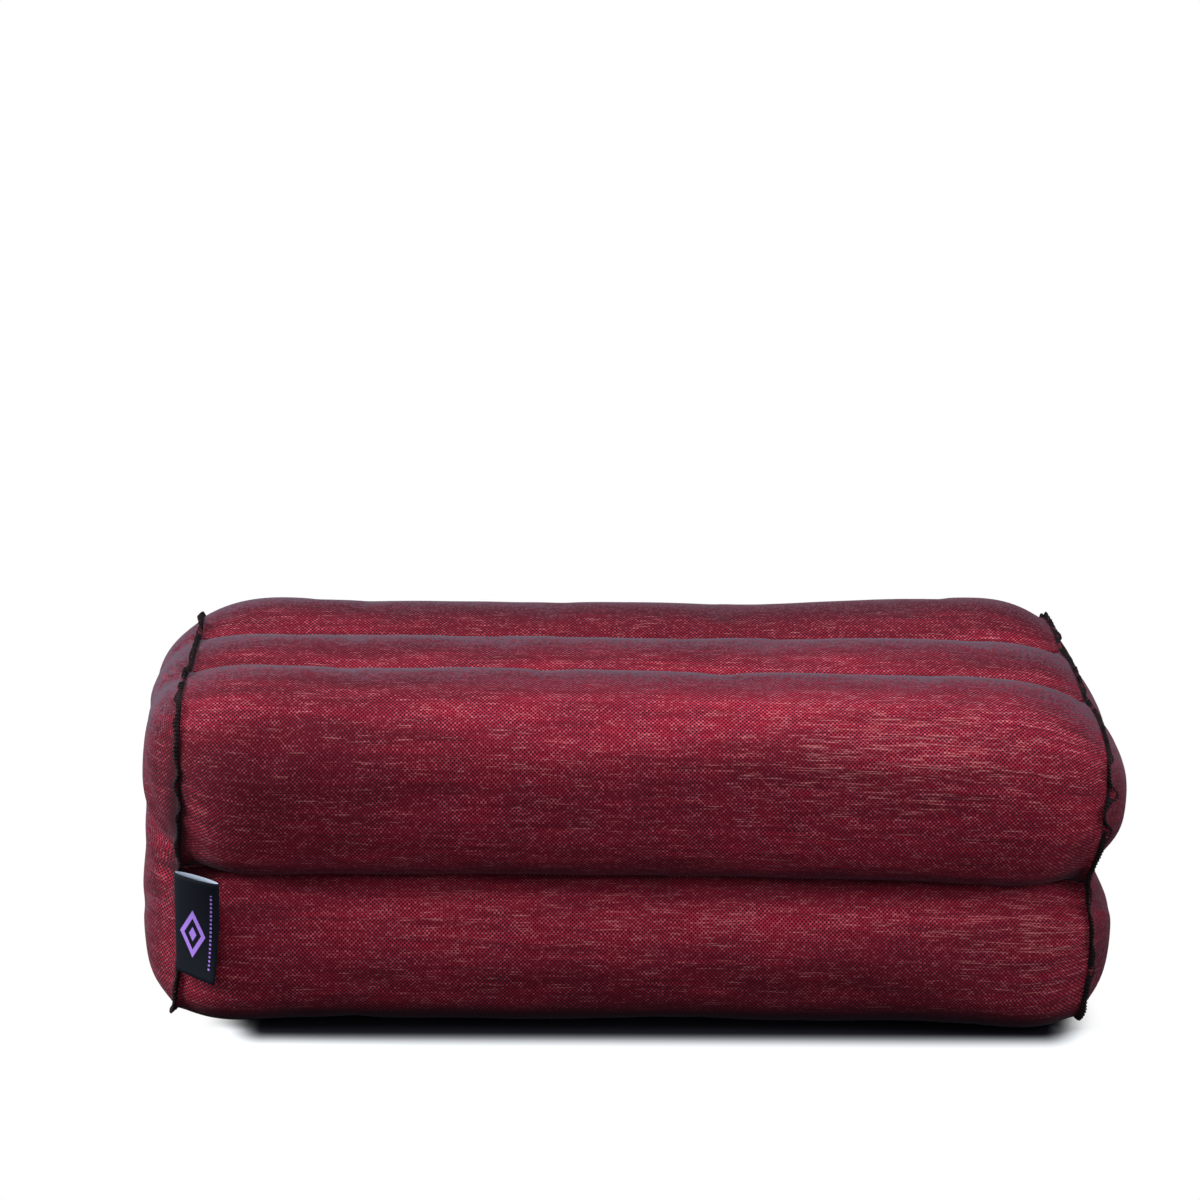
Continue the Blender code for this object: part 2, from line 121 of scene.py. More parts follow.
def moved(point: Pair, direction: Pair, far: float) -> Pair:
    """A point of the cross-section moved so far in a direction."""
    return (point[0] + direction[0] * far, point[1] + direction[1] * far)


def set_all(target: object, settings: dict) -> None:
    """Gives each named attribute of the target its value."""
    for name, value in settings.items():
        setattr(target, name, value)


def running_length(points: Sequence[Pair]) -> list[float]:
    """The length of a line of points, up to each of them.

    Args:
        points: the line's points in order.

    Returns:
        A length for each point, from 0 at the first.
    """
    marks = [0.0]
    for a, b in zip(points, points[1:]):
        marks.append(marks[-1] + math.dist(a, b))
    return marks


def smooth_curve(points: Sequence[Pair], share: float) -> Pair:
    """A point of a smooth curve.

    Args:
        points: the (y, z) points that the curve passes through.
        share: how far along the curve's length the point is.

    Returns:
        The point as (y, z).
    """
    marks = running_length(points)
    at = min(max(share, 0.0), 1.0) * marks[-1]
    k = min(max(i for i, mark in enumerate(marks) if mark <= at), len(points) - 2)
    slopes = []
    for i in (k, k + 1):
        before, after = max(i - 1, 0), min(i + 1, len(points) - 1)
        span = marks[after] - marks[before]
        slopes.append([(points[after][n] - points[before][n]) / span for n in (0, 1)])
    step = marks[k + 1] - marks[k]
    t = (at - marks[k]) / step
    near, far = (1 + 2 * t) * (1 - t) ** 2, t * t * (3 - 2 * t)
    leave, arrive = t * (1 - t) ** 2 * step, -t * t * (1 - t) * step
    return tuple(
        points[k][n] * near + points[k + 1][n] * far + slopes[0][n] * leave + slopes[1][n] * arrive
        for n in (0, 1)
    )


@dataclass(frozen=True)
class Form:
    """The stuffed cushion's shape, from the same sizes as its solids."""

    half_length: float = 0.175
    half_depth: float = 0.087
    end_bottom: float = 0.0031
    end_top: float = 0.1222
    top_squareness: float = 6.5
    foot_squareness: float = 14.0
    outline_points: int = 1440
    outline_probe: float = 0.02
    level: float = 0.059
    wall: float = 0.0295
    end_dip: float = 0.003
    dip_width: float = 0.012
    valley_depth: float = 0.078
    valley_top: float = 0.1175
    valley_bottom: float = 0.010
    swell_length: float = 0.036
    swell_power: float = 2.6
    seam_half: float = 0.0003
    fin_height: float = 0.0016
    fin_lean: float = 45.0
    fin_lean_level: float = 28.0
    top_height: float = 0.120
    lift: float = 0.0010
    lean_length: float = -0.0012
    lean_depth: float = 0.0005
    twist: float = 0.0012
    back_sag: float = 0.0020
    left_rise: float = 0.0030
    right_fall: float = 0.0090
    corner_power: int = 10
    shift_along: float = 0.0030
    end_skew: float = 0.0023
    left_foot: float = 0.0022
    left_reach: float = 0.0040
    flare: float = 0.09
    right_draw: float = 0.0020
    overreach: float = 0.0040
    overreach_back: float = 0.45
    pinch: float = 0.0035
    pinch_width: float = 0.014
    foot_drift: Triple = (-0.0040, -0.0065, -0.0012)
    foot_rise: float = 0.030
    ruffle: float = 0.0044
    ruffle_wave: float = 0.0088
    ruffle_foot: float = 0.8
    ruffle_ends_apart: float = 7.0
    fine_ruffle: float = 0.3
    fine_rate: float = 2.1
    ragged: float = 0.35
    ragged_rate: float = 1.4
    ragged_apart: Triple = (31.0, 5.0, 2.0)
    upper_lobe: tuple[Pair, ...] = (
        (0.088, 0.0573), (0.096, 0.067), (0.098, 0.088), (0.094, 0.110), (0.080, 0.1255),
        (0.060, 0.1298), (0.043, 0.1270),
    )
    lower_lobe: tuple[Pair, ...] = (
        (0.044, 0.0), (0.068, 0.0), (0.088, 0.0011), (0.0972, 0.0090), (0.099, 0.028),
        (0.096, 0.045), (0.088, 0.0552),
    )
    middle_crest: tuple[Pair, ...] = ((0.015, 0.1255), (0.0, 0.1275), (-0.015, 0.1255))
    middle_base: tuple[Pair, ...] = (
        (-0.019, 0.0015), (-0.010, 0.0), (0.010, 0.0), (0.019, 0.0015),
    )
    lobe_rows: int = 32
    middle_rows: int = 16

    @property
    def centre_height(self) -> float:
        """The height of the end outline's middle."""
        return (self.end_top + self.end_bottom) / 2

    @property
    def half_height(self) -> float:
        """Half the end outline's height."""
        return (self.end_top - self.end_bottom) / 2

    def seams(self) -> tuple[Seam, ...]:
        """Lays out the lengthwise seams.

        Returns:
            The six seams, in order round the cross-section from the back.
        """
        low, high = self.end_bottom + self.end_dip, self.end_top - self.end_dip
        side, wall, valley = self.half_depth - self.end_dip, self.wall, self.valley_depth
        top, bottom = self.valley_top, self.valley_bottom
        return (
            Seam("back", (side, self.level), (valley, self.level), (1, 0), (0, 1)),
            Seam("top_back", (wall, high), (wall, top), (0, 1), (-1, 0)),
            Seam("top_front", (-wall, high), (-wall, top), (0, 1), (-1, 0)),
            Seam("front", (-side, self.level), (-valley, self.level), (-1, 0), (0, -1)),
            Seam("bottom_front", (-wall, low), (-wall, bottom), (0, -1), (1, 0)),
            Seam("bottom_back", (wall, low), (wall, bottom), (0, -1), (1, 0)),
        )

    def chambers(self) -> tuple[Chamber, ...]:
        """Lays out the chambers.

        Returns:
            The six chambers in the seams' order, each between its own seam and the next.
        """
        ring = self.seams()
        upper, lower = (
            tuple((-y, z) for y, z in reversed(lobe)) for lobe in (self.upper_lobe, self.lower_lobe)
        )
        shapes = (
            ("upper_back", self.upper_lobe, self.lobe_rows),
            ("upper_middle", self.middle_crest, self.middle_rows),
            ("upper_front", upper, self.lobe_rows),
            ("lower_front", lower, self.lobe_rows),
            ("lower_middle", self.middle_base, self.middle_rows),
            ("lower_back", self.lower_lobe, self.lobe_rows),
        )
        return tuple(
            Chamber(*shape, ring[i], ring[(i + 1) % len(ring)]) for i, shape in enumerate(shapes)
        )

    def swell_at(self, x: float) -> float:
        """How far the chambers have swollen at x: 0 at the end seams and 1 in the middle."""
        distance = min((self.half_length - abs(x)) / self.swell_length, 1.0)
        return 1.0 - (1.0 - max(distance, 0.0)) ** self.swell_power

    def seam_at(self, seam: Seam, swell: float, side: float = 0.0) -> Pair:
        """A seam's point at a swell, moved by side half-seams towards the next strip."""
        return moved(mix(seam.at_end, seam.at_middle, swell), seam.onward, self.seam_half * side)

    def end_outline(self, angle: float) -> Pair:
        """A point of the end seam's outline, a squarish oval that dips at each seam.

        Args:
            angle: the point's direction from the middle, from +y towards +z.

        Returns:
            The point as (y, z).
        """
        c, s = math.cos(angle), math.sin(angle)
        power = self.top_squareness if s > 0 else self.foot_squareness
        size = abs(c / self.half_depth) ** power + abs(s / self.half_height) ** power
        reach = size ** (-1 / power)
        y, z = reach * c, reach * s
        sink = self._dip(y - self.wall) + self._dip(y + self.wall)
        z -= math.copysign(sink * abs(z / self.half_height) ** power, z)
        height = self.centre_height + z
        y -= math.copysign(self._dip(height - self.level) * abs(y / self.half_depth), y)
        return (y, height)

    def _dip(self, offset: float) -> float:
        """The dip of the end outline this far from a seam."""
        return self.end_dip * math.exp(-((offset / self.dip_width) ** 2))

    def outward(self, y: float, z: float) -> Pair:
        """The direction straight out of the end outline.

        Args:
            y: the point's place across the cushion.
            z: the point's height.

        Returns:
            The direction as (y, z), one long.
        """
        angle = math.atan2(z - self.centre_height, y)
        turns = (angle - self.outline_probe, angle + self.outline_probe)
        before, after = (self.end_outline(turn) for turn in turns)
        along = Vector((after[0] - before[0], after[1] - before[1])).normalized()
        return (along.y, -along.x)

    def arc_point(self, chamber: Chamber, share: float, swell: float) -> Pair:
        """A point on the outside of a chamber's strip.

        Args:
            chamber: the chamber that the strip covers.
            share: how far it is from the strip's first seam to its second.
            swell: how far the chamber has swollen there, from 0 to 1.

        Returns:
            The point as (y, z).
        """
        ends = [self.seam_at(chamber.start, 0.0, 1), self.seam_at(chamber.finish, 0.0, -1)]
        first, last = (math.atan2(z - self.centre_height, y) for y, z in ends)
        if last <= first:
            last += 2 * math.pi
        here, low, high = (
            self.end_outline(first + (last - first) * part) for part in (share, 0.0, 1.0)
        )
        near, far = (1 - share) ** 4, share**4
        at_end = tuple(
            here[k] + (ends[0][k] - low[k]) * near + (ends[1][k] - high[k]) * far for k in (0, 1)
        )
        start = self.seam_at(chamber.start, 1.0, 1)
        finish = self.seam_at(chamber.finish, 1.0, -1)
        at_middle = smooth_curve((start, *chamber.lobe, finish), share)
        y, z = mix(at_end, at_middle, swell)
        return (y, max(z, 0.0))

    def seam_point(self, y: float, z: float, end: End, across: float, up: float) -> Vector:
        """A point of an end's ruffled seam fin, which leans out, less so where it runs level.

        Args:
            y: the end outline's point under it, across the cushion.
            z: that point's height.
            end: the end that the fin is on.
            across: how far it is across the plies, positive on the strips' side.
            up: how far it is up the fin from the seam.

        Returns:
            The point in the even cushion.
        """
        ny, nz = self.outward(y, z)
        side = self.ruffle_ends_apart * end.value
        spot = Vector((y / self.ruffle_wave, z / self.ruffle_wave, side))
        climb = max(up, 0.0) / self.fin_height * (1.0 - self.ruffle_foot * max(-nz, 0.0))
        wave = noise.noise(spot) + self.fine_ruffle * noise.noise(spot * self.fine_rate)
        across += self.ruffle * climb * wave
        edge = noise.noise(spot * self.ragged_rate + Vector(self.ragged_apart))
        up *= 1.0 + self.ragged * climb * edge
        lean = math.radians(self.fin_lean + (self.fin_lean_level - self.fin_lean) * abs(nz))
        out = math.sin(lean) * up + math.cos(lean) * across
        x = end.value * (self.half_length + math.cos(lean) * up - math.sin(lean) * across)
        return Vector((x, y + ny * out, z + nz * out))

    def end_ring(self, step: float) -> list[Pair]:
        """The end outline as evenly spaced points.

        Args:
            step: about how far apart the points are.

        Returns:
            The (y, z) points in order round the outline.
        """
        turns = [2 * math.pi * k / self.outline_points for k in range(self.outline_points)]
        fine = [self.end_outline(turn) for turn in turns]
        fine.append(fine[0])
        marks = running_length(fine)
        count = round(marks[-1] / step)
        ring, k = [], 0
        for i in range(count):
            at = marks[-1] * i / count
            while marks[k + 1] <= at:
                k += 1
            share = (at - marks[k]) / (marks[k + 1] - marks[k])
            ring.append(mix(fine[k], fine[k + 1], share))
        return ring

    def settled(self, point: Sequence[float]) -> Vector:
        """Moves a point of the even cushion to where the leaning, twisted cushion has it.

        Args:
            point: the point in the even cushion.

        Returns:
            The point in the settled cushion.
        """
        x, y, z = point
        along, across, height = x / self.half_length, y / self.half_depth, z / self.top_height
        rise = self.lift + self.lean_length * along + self.lean_depth * across
        rise += self.twist * along * across
        rise -= self.back_sag * max(across, 0.0) ** 2 * max(1 - along**2, 0.0)
        corner = self.left_rise if along < 0 else -self.right_fall
        rise += corner * abs(along) ** self.corner_power * (1 - across) / 2 * height**2
        leftward, rightward = max(-along, 0.0) ** 2, max(along, 0.0) ** 2
        lean = 1 - self.overreach_back * (1 + across)
        reach = self.overreach * (2 * height - 1) * lean
        pinch = self.pinch * math.exp(-(((z - self.level) / self.pinch_width) ** 2))
        shift = rightward * (reach - pinch - self.right_draw)
        shift -= leftward * self.left_foot * (1 - height)
        shift += self.shift_along - self.end_skew * across * along**2
        shift -= leftward * self.left_reach * max(across, 0.0) * height
        settled = Vector((x + shift, y * (1 + self.flare * rightward), z + rise * height))
        foot = max(1 - z / self.foot_rise, 0.0) ** 2 * along**6 * max(-across, 0.0) ** 3
        settled += Vector(self.foot_drift) * float(foot)
        settled.z = max(settled.z, 0.0)
        return settled


class Graph:
    """A node tree, and short ways to add to it."""

    def __init__(self, owner: bpy.types.Material | bpy.types.World) -> None:
        """Empties the owner's tree.

        Args:
            owner: the material or world that the tree belongs to.
        """
        owner.use_nodes = True
        self.nodes = owner.node_tree.nodes
        self.links = owner.node_tree.links
        self.nodes.clear()

    def add(self, kind: str, inputs: dict | None = None, **settings: object) -> bpy.types.Node:
        """Adds a node.

        Args:
            kind: the node's type, without the words that all shader types share.
            inputs: a value or a socket for each input that is named or numbered.
            settings: the node's own settings.

        Returns:
            The node.
        """
        node = self.nodes.new("ShaderNode" + kind)
        set_all(node, settings)
        for name, value in (inputs or {}).items():
            self.put(node.inputs[name], value)
        return node

    def put(self, socket: Socket, value: object) -> None:
        """Gives an input its value.

        Args:
            socket: the input.
            value: another socket to link it to, or a plain value.
        """
        if isinstance(value, bpy.types.NodeSocket):
            self.links.new(value, socket)
        elif socket.type == "RGBA" and len(value) == 3:
            socket.default_value = (*value, 1.0)
        else:
            socket.default_value = value

    def math(self, operation: str, *values: object) -> Socket:
        """The result of a Math node."""
        return self.add("Math", dict(enumerate(values)), operation=operation).outputs[0]

    def times(self, first: object, second: object) -> Socket:
        """The product of two values."""
        return self.math("MULTIPLY", first, second)

    def less(self, first: object, second: object) -> Socket:
        """The first value less the second."""
        return self.math("SUBTRACT", first, second)

    def size(self, value: object) -> Socket:
        """A value without its sign."""
        return self.math("ABSOLUTE", value)

    def swayed(self, base: object, tone: Socket, gain: float) -> Socket:
        """A base that a tone from 0 to 1 moves down or up, by up to half the gain."""
        return self.math("MULTIPLY_ADD", self.less(tone, 0.5), gain, base)

    def blend(self, share: object, first: object, second: object, mode: str = "MIX") -> Socket:
        """The colour between two colours.

        Args:
            share: how much of the second colour is in it.
            first: the first colour.
            second: the second colour.
            mode: the Mix node's blend type.

        Returns:
            The mixed colour's socket.
        """
        node = self.add("Mix", data_type="RGBA", blend_type=mode)
        for index, value in ((0, share), (6, first), (7, second)):
            self.put(node.inputs[index], value)
        return node.outputs[2]

    def span(self, value: object, low: float, high: float, to_low: float = 0.0,
             to_high: float = 1.0) -> Socket:
        """A value eased from the range low to high into the range to_low to to_high."""
        inputs = dict(enumerate((value, low, high, to_low, to_high)))
        return self.add("MapRange", inputs, interpolation_type="SMOOTHSTEP").outputs[0]

    def cloth_map(self) -> Socket:
        """The place on the flat cloth, in metres."""
        return self.add("UVMap", uv_map=CLOTH_MAP).outputs[0]

    def body(self) -> Socket:
        """The place in the piece's own frame."""
        return self.add("TexCoord").outputs["Object"]

    def parts(self, vector: Socket) -> tuple[Socket, ...]:
        """A vector's three values."""
        return tuple(self.add("SeparateXYZ", {0: vector}).outputs)

    def vector(self, x: object, y: object) -> Socket:
        """A level vector from two values."""
        return self.add("CombineXYZ", {0: x, 1: y}).outputs[0]

    def length(self, vector: Socket) -> Socket:
        """A vector's length."""
        return self.add("VectorMath", {0: vector}, operation="LENGTH").outputs["Value"]

    def stretch(self, place: Socket, scale: Triple, shift: Triple = (0, 0, 0)) -> Socket:
        """A place scaled by its own amount along each axis, and then shifted."""
        inputs = {"Vector": place, "Scale": scale, "Location": shift}
        return self.add("Mapping", inputs).outputs[0]

    def noise(self, place: Socket, scale: Triple, detail: float, shift: Triple = (0, 0, 0)) -> Socket:
        """Soft noise from 0 to 1, with its own scale along each axis of the place."""
        inputs = {"Vector": self.stretch(place, scale, shift), "Scale": 1.0, "Detail": detail}
        return self.add("TexNoise", inputs, noise_dimensions="3D").outputs["Fac"]

    def surface(self, shader: bpy.types.Node, output: str = "OutputMaterial") -> None:
        """Makes a shader node the surface of the material or world."""
        self.links.new(shader.outputs[0], self.add(output).inputs["Surface"])


@dataclass(frozen=True)
class Finish:
    """A bumpy finish with a name, made once and shared by the pieces that wear it."""

    name: str
    roughness: float = 0.7
    specular: float = 0.5
    sheen: float = 0.0
    sheen_roughness: float = 0.5
    sheen_tint: Triple = (1.0, 1.0, 1.0)
    bump: float = 0.5
    bump_depth: float = 0.0001

    def material(self) -> bpy.types.Material:
        """Makes the finish's material on its first use.

        Returns:
            The material.
        """
        found = bpy.data.materials.get(self.name)
        if found:
            return found
        made = bpy.data.materials.new(self.name)
        graph = Graph(made)
        colour, height = self.draw(graph)
        inputs = {"Strength": self.bump, "Distance": self.bump_depth, "Height": height}
        graph.surface(graph.add("BsdfPrincipled", {
            "Base Color": colour,
            "Roughness": self.roughness,
            "Specular IOR Level": self.specular,
            "Sheen Weight": self.sheen,
            "Sheen Roughness": self.sheen_roughness,
            "Sheen Tint": self.sheen_tint,
            "Normal": graph.add("Bump", inputs).outputs[0],
        }))
        return made

    def draw(self, graph: Graph) -> tuple[Socket, Socket]:
        """Adds the finish's own nodes to its empty tree.

        Args:
            graph: the tree.

        Returns:
            The colour, and the height that the bumps follow.
        """
        raise NotImplementedError


@dataclass(frozen=True)
class Patch:
    """A soft oval area of the cover, in the cushion's own frame."""

    centre: Triple
    radii: Triple
    strength: float
    full_within: float = 0.15

    def share(self, graph: Graph, body: Socket) -> Socket:
        """How near a place is to the patch.

        Args:
            graph: the tree to add to.
            body: the place.

        Returns:
            The socket of a value that is 1 about the patch's centre and 0 past its radii.
        """
        shrink = tuple(1 / radius for radius in self.radii)
        shift = tuple(-middle / radius for middle, radius in zip(self.centre, self.radii))
        return graph.span(graph.length(graph.stretch(body, shrink, shift)), 1.0, self.full_within)


@dataclass(frozen=True)
class Yarn:
    """How the threads of the weft vary: rows to a thread of the weave, and each one's stretches."""

    rows: float
    length: float
    shuffle: float

    def tone(self, graph: Graph, along: Socket, across: Socket) -> Socket:
        """How thick and light each row's thread is along its length, from 0 to 1."""
        row = graph.math("FLOOR", graph.times(across, self.rows))
        return graph.noise(graph.vector(along, row), (1 / self.length, self.shuffle, 1), 2.0)


@dataclass(frozen=True)
class Bloom:
    """A painted dusty sheen: a colour that comes up where the cloth turns away, from one angle to the
    next.
    """

    colour: Triple
    low: float
    high: float
    most: float


@dataclass(frozen=True)
class ShotCloth(Finish):
    """Plain-woven cotton with a red weft over a black warp, slubs and wear, with painted shade and a
    painted dusty sheen in its colour.
    """

    roughness: float = 0.9
    specular: float = 0.10
    sheen: float = 0.07
    sheen_roughness: float = 0.35
    sheen_tint: Triple = (0.66, 0.66, 0.84)
    bump: float = 0.55
    bump_depth: float = 0.0002
    deep_weft: Triple = (0.150, 0.005, 0.016)
    weft: Triple = (0.480, 0.023, 0.056)
    bright_weft: Triple = (0.600, 0.130, 0.170)
    warp: Triple = (0.022, 0.0028, 0.008)
    slub: Triple = (0.600, 0.270, 0.265)
    lint: Triple = (0.700, 0.560, 0.520)
    # Painted shade: the colour the cloth is multiplied towards where its surface turns away from the
    # view.
    shade: Triple = (0.50, 0.45, 0.55)
    # Painted shade: the near-black laid into hollows and along the foot.
    painted_shade: Triple = (0.020, 0.003, 0.006)
    # Painted sheen: dusty colours laid over the cloth where it turns away from the view.
    painted_sheens: tuple[Bloom, ...] = (
        Bloom((0.088, 0.034, 0.056), 0.57, 0.90, 0.90),
        Bloom((0.042, 0.037, 0.052), 0.76, 0.98, 0.85),
    )
    pitch: float = 0.00078
    wander: float = 1.3
    wander_scale: Triple = (70, 240, 1)
    weave_edge: Pair = (-0.30, 0.20)
    slubs: Yarn = Yarn(2.2, 0.012, 7.31)
    slub_height: float = 0.5
    slub_gain: float = 1.5
    slub_shown: tuple[float, ...] = (0.61, 0.76, 0.0, 0.38)
    slub_cover: float = 1.25
    streaks: Yarn = Yarn(0.5, 0.045, 3.17)
    streak_gain: float = 1.3
    cloud_scale: Triple = (11, 40, 75)
    cloud_shift: Triple = (3, 1, 0)
    tone_base: float = -0.06
    tone_edge: Pair = (-0.60, 0.75)
    bright_edge: Pair = (0.40, 1.30)
    bright_tone: tuple[float, ...] = (-0.6, 0.7, 0.35, 1.0)
    rub_scale: Triple = (12, 30, 40)
    rub_edge: tuple[float, ...] = (0.35, 0.75, 0.0, 0.30)
    rub_gain: float = 0.075
    hair_scale: Triple = (60, 300, 420)
    hair_shift: Triple = (5, 2, 7)
    hair_edge: tuple[float, ...] = (0.83, 0.87, 0.0, 0.6)
    shade_edge: Pair = (0.22, 0.60)
    # How much painted sheen a face takes: most on upward faces, none on downward ones.
    sheen_up_edge: tuple[float, ...] = (-0.05, 0.55, 0.22, 1.0)
    sheen_foot: Pair = (-0.60, -0.10)
    sheen_ragged: float = 0.42
    worn: tuple[Patch, ...] = (
        Patch((0.100, -0.090, 0.108), (0.090, 0.05, 0.036), 1.4),
        Patch((0.150, -0.095, 0.038), (0.055, 0.05, 0.030), 1.3),
        Patch((0.010, -0.095, 0.046), (0.160, 0.05, 0.014), 0.8),
        Patch((-0.080, -0.085, 0.108), (0.100, 0.06, 0.018), 0.3),
        Patch((0.060, 0.000, 0.128), (0.110, 0.03, 0.020), 0.5),
    )
    # Patches that deepen or brighten the weft: partly the cloth's own tone, partly painted light and
    # shade, such as the painted shade on the back chamber.
    tone_and_painted_light_patches: tuple[Patch, ...] = (
        Patch((0.110, -0.085, 0.126), (0.100, 0.06, 0.022), 0.30),
        Patch((0.000, -0.085, 0.124), (0.100, 0.06, 0.016), 0.28),
        Patch((0.020, -0.095, 0.046), (0.170, 0.06, 0.020), 0.28),
        Patch((-0.135, -0.095, 0.098), (0.085, 0.06, 0.036), -0.5),
        Patch((0.040, -0.095, 0.100), (0.160, 0.06, 0.018), -0.20),
        Patch((0.080, -0.095, 0.024), (0.200, 0.06, 0.024), -0.25),
        Patch((0.000, 0.065, 0.120), (0.300, 0.06, 0.060), -0.7),
    )
    # Patches where the painted sheen is taken away.
    sheen_removed: tuple[Patch, ...] = (
        Patch((0.060, 0.080, 0.120), (0.350, 0.07, 0.08), -0.75),
        Patch((0.192, 0.000, 0.060), (0.030, 0.20, 0.14), -0.75),
    )
    # Painted shade: near-black patches beside the fins where the valleys meet them, and along the
    # cushion's foot.
    painted_shade_patches: tuple[Patch, ...] = (
        Patch((-0.172, -0.093, 0.080), (0.008, 0.03, 0.045), 1.0),
        Patch((-0.168, -0.088, 0.060), (0.020, 0.02, 0.008), 1.0),
        Patch((0.172, -0.094, 0.060), (0.014, 0.02, 0.008), 0.9),
        Patch((0.000, -0.098, 0.000), (0.900, 0.05, 0.015), 1.0),
    )

    def draw(self, graph: Graph) -> tuple[Socket, Socket]:
        """Adds the cloth's nodes.

        Args:
            graph: the tree.

        Returns:
            The colour, and the height that the bumps follow.
        """
        place, body = graph.cloth_map(), graph.body()
        u, v, _ = graph.parts(place)
        bend = graph.noise(place, self.wander_scale, 1.0)
        along, across = (graph.math("DIVIDE", value, self.pitch) for value in (u, v))
        across = graph.math("MULTIPLY_ADD", bend, self.wander, across)
        waves = [graph.math("SINE", graph.times(value, math.pi)) for value in (along, across)]
        weave = graph.span(graph.times(*waves), *self.weave_edge)
        slub = self.slubs.tone(graph, u, across)
        streak = self.streaks.tone(graph, u, across)
        crossing = graph.vector(*(graph.math("FLOOR", value) for value in (along, across)))
        spot = graph.add("TexWhiteNoise", {"Vector": crossing}, noise_dimensions="2D").outputs[0]
        cloth = self._colour(graph, body, weave, slub, streak, spot)
        height = graph.math("MULTIPLY_ADD", slub, self.slub_height, weave)
        return self._grazed(graph, body, cloth, spot), height

    def _areas(self, graph: Graph, body: Socket, patches: Sequence[Patch], total: object) -> Socket:
        """A tone with soft patches added to it.

        Args:
            graph: the tree to add to.
            body: the place in the cushion's own frame.
            patches: the patches.
            total: the tone without them.

        Returns:
            The tone's socket.
        """
        for patch in patches:
            total = graph.math("MULTIPLY_ADD", patch.share(graph, body), patch.strength, total)
        return total

    def _colour(self, graph: Graph, body: Socket, weave: Socket, slub: Socket, streak: Socket,
                spot: Socket) -> Socket:
        """The cloth's colour, seen square on.

        Args:
            graph: the tree to add to.
            body: the place in the cushion's own frame.
            weave: 1 where the weft lies on top and 0 where the warp does.
            slub: how thick each thread is along its length.
            streak: a longer, broader tone along the threads.
            spot: a chance value for each crossing.

        Returns:
            The colour's socket.
        """
        cloud = graph.noise(body, self.cloud_scale, 3.0, self.cloud_shift)
        depth = graph.swayed(self.tone_base, cloud, 1.0)
        depth = graph.swayed(depth, streak, self.streak_gain)
        # Painted light and shade by patches, along with the cloth's own tone.
        depth = self._areas(graph, body, self.tone_and_painted_light_patches, depth)
        weft = graph.blend(graph.span(depth, *self.tone_edge), self.deep_weft, self.weft)
        thick = graph.span(graph.swayed(spot, slub, self.slub_gain), *self.bright_edge)
        bright = graph.times(thick, graph.span(depth, *self.bright_tone))
        weft = graph.blend(bright, weft, self.bright_weft)
        rubbed = graph.span(graph.noise(body, self.rub_scale, 2.0), *self.rub_edge)
        rubbed = self._areas(graph, body, self.worn, rubbed)
        over = graph.math("MULTIPLY_ADD", rubbed, self.rub_gain, slub)
        shown = graph.span(over, *self.slub_shown)
        weft = graph.blend(shown, weft, self.slub)
        showing = graph.math("MAXIMUM", weave, graph.times(shown, self.slub_cover))
        cloth = graph.blend(showing, self.warp, weft)
        hair = graph.noise(body, self.hair_scale, 1.0, self.hair_shift)
        return graph.blend(graph.span(hair, *self.hair_edge), cloth, self.lint)

    def _grazed(self, graph: Graph, body: Socket, cloth: Socket, spot: Socket) -> Socket:
        """The cloth's colour at every angle: painted shade, then a painted dusty sheen, as the surface
        turns away, with painted shade in its hollows and along its foot.

        Args:
            graph: the tree to add to.
            body: the place in the cushion's own frame.
            cloth: the colour seen square on.
            spot: a chance value for each crossing.

        Returns:
            The colour's socket.
        """
        facing = graph.add("LayerWeight", {"Blend": 0.5}).outputs["Facing"]
        # Painted shade: the colour darkens where the surface turns away from the view.
        grazing_shade = graph.blend(1.0, cloth, self.shade, "MULTIPLY")
        colour = graph.blend(graph.span(facing, *self.shade_edge), cloth, grazing_shade)
        # Painted shade in the hollows beside the fins and along the foot.
        for patch in self.painted_shade_patches:
            shaded_share = graph.times(patch.share(graph, body), patch.strength)
            colour = graph.blend(shaded_share, colour, self.painted_shade)
        # Painted sheen: by the angle of view, strongest on upward faces.
        up = graph.parts(graph.add("NewGeometry").outputs["Normal"])[2]
        sheen_share = graph.times(graph.span(up, *self.sheen_up_edge), graph.span(up, *self.sheen_foot))
        sheen_kept = graph.math("MAXIMUM", self._areas(graph, body, self.sheen_removed, 1.0), 0.0)
        sheen_share = graph.times(sheen_share, sheen_kept)
        ragged = graph.swayed(facing, spot, self.sheen_ragged)
        for painted_sheen in self.painted_sheens:
            share = graph.span(ragged, painted_sheen.low, painted_sheen.high, 0.0, painted_sheen.most)
            colour = graph.blend(graph.times(share, sheen_share), colour, painted_sheen.colour)
        return colour


@dataclass(frozen=True)
class Thread(Finish):
    """Sewing thread with fine fibres."""

    roughness: float = 0.9
    specular: float = 0.15
    bump: float = 0.6
    colour: Triple = (0.0045, 0.0035, 0.0045)
    fleck: Triple = (0.045, 0.011, 0.016)
    fibre_scale: float = 2600
    fibre_edge: Pair = (0.35, 0.8)
    tone_scale: float = 160
    tone_edge: Pair = (0.3, 0.8)

    def draw(self, graph: Graph) -> tuple[Socket, Socket]:
        """Adds the thread's nodes.

        Args:
            graph: the tree.

        Returns:
            The colour, and the height that the bumps follow.
        """
        body = graph.body()
        fibre = graph.noise(body, (self.fibre_scale,) * 3, 2.0)
        tone = graph.noise(body, (self.tone_scale,) * 3, 1.0)
        share = graph.times(graph.span(fibre, *self.fibre_edge), graph.span(tone, *self.tone_edge))
        return graph.blend(share, self.colour, self.fleck), fibre


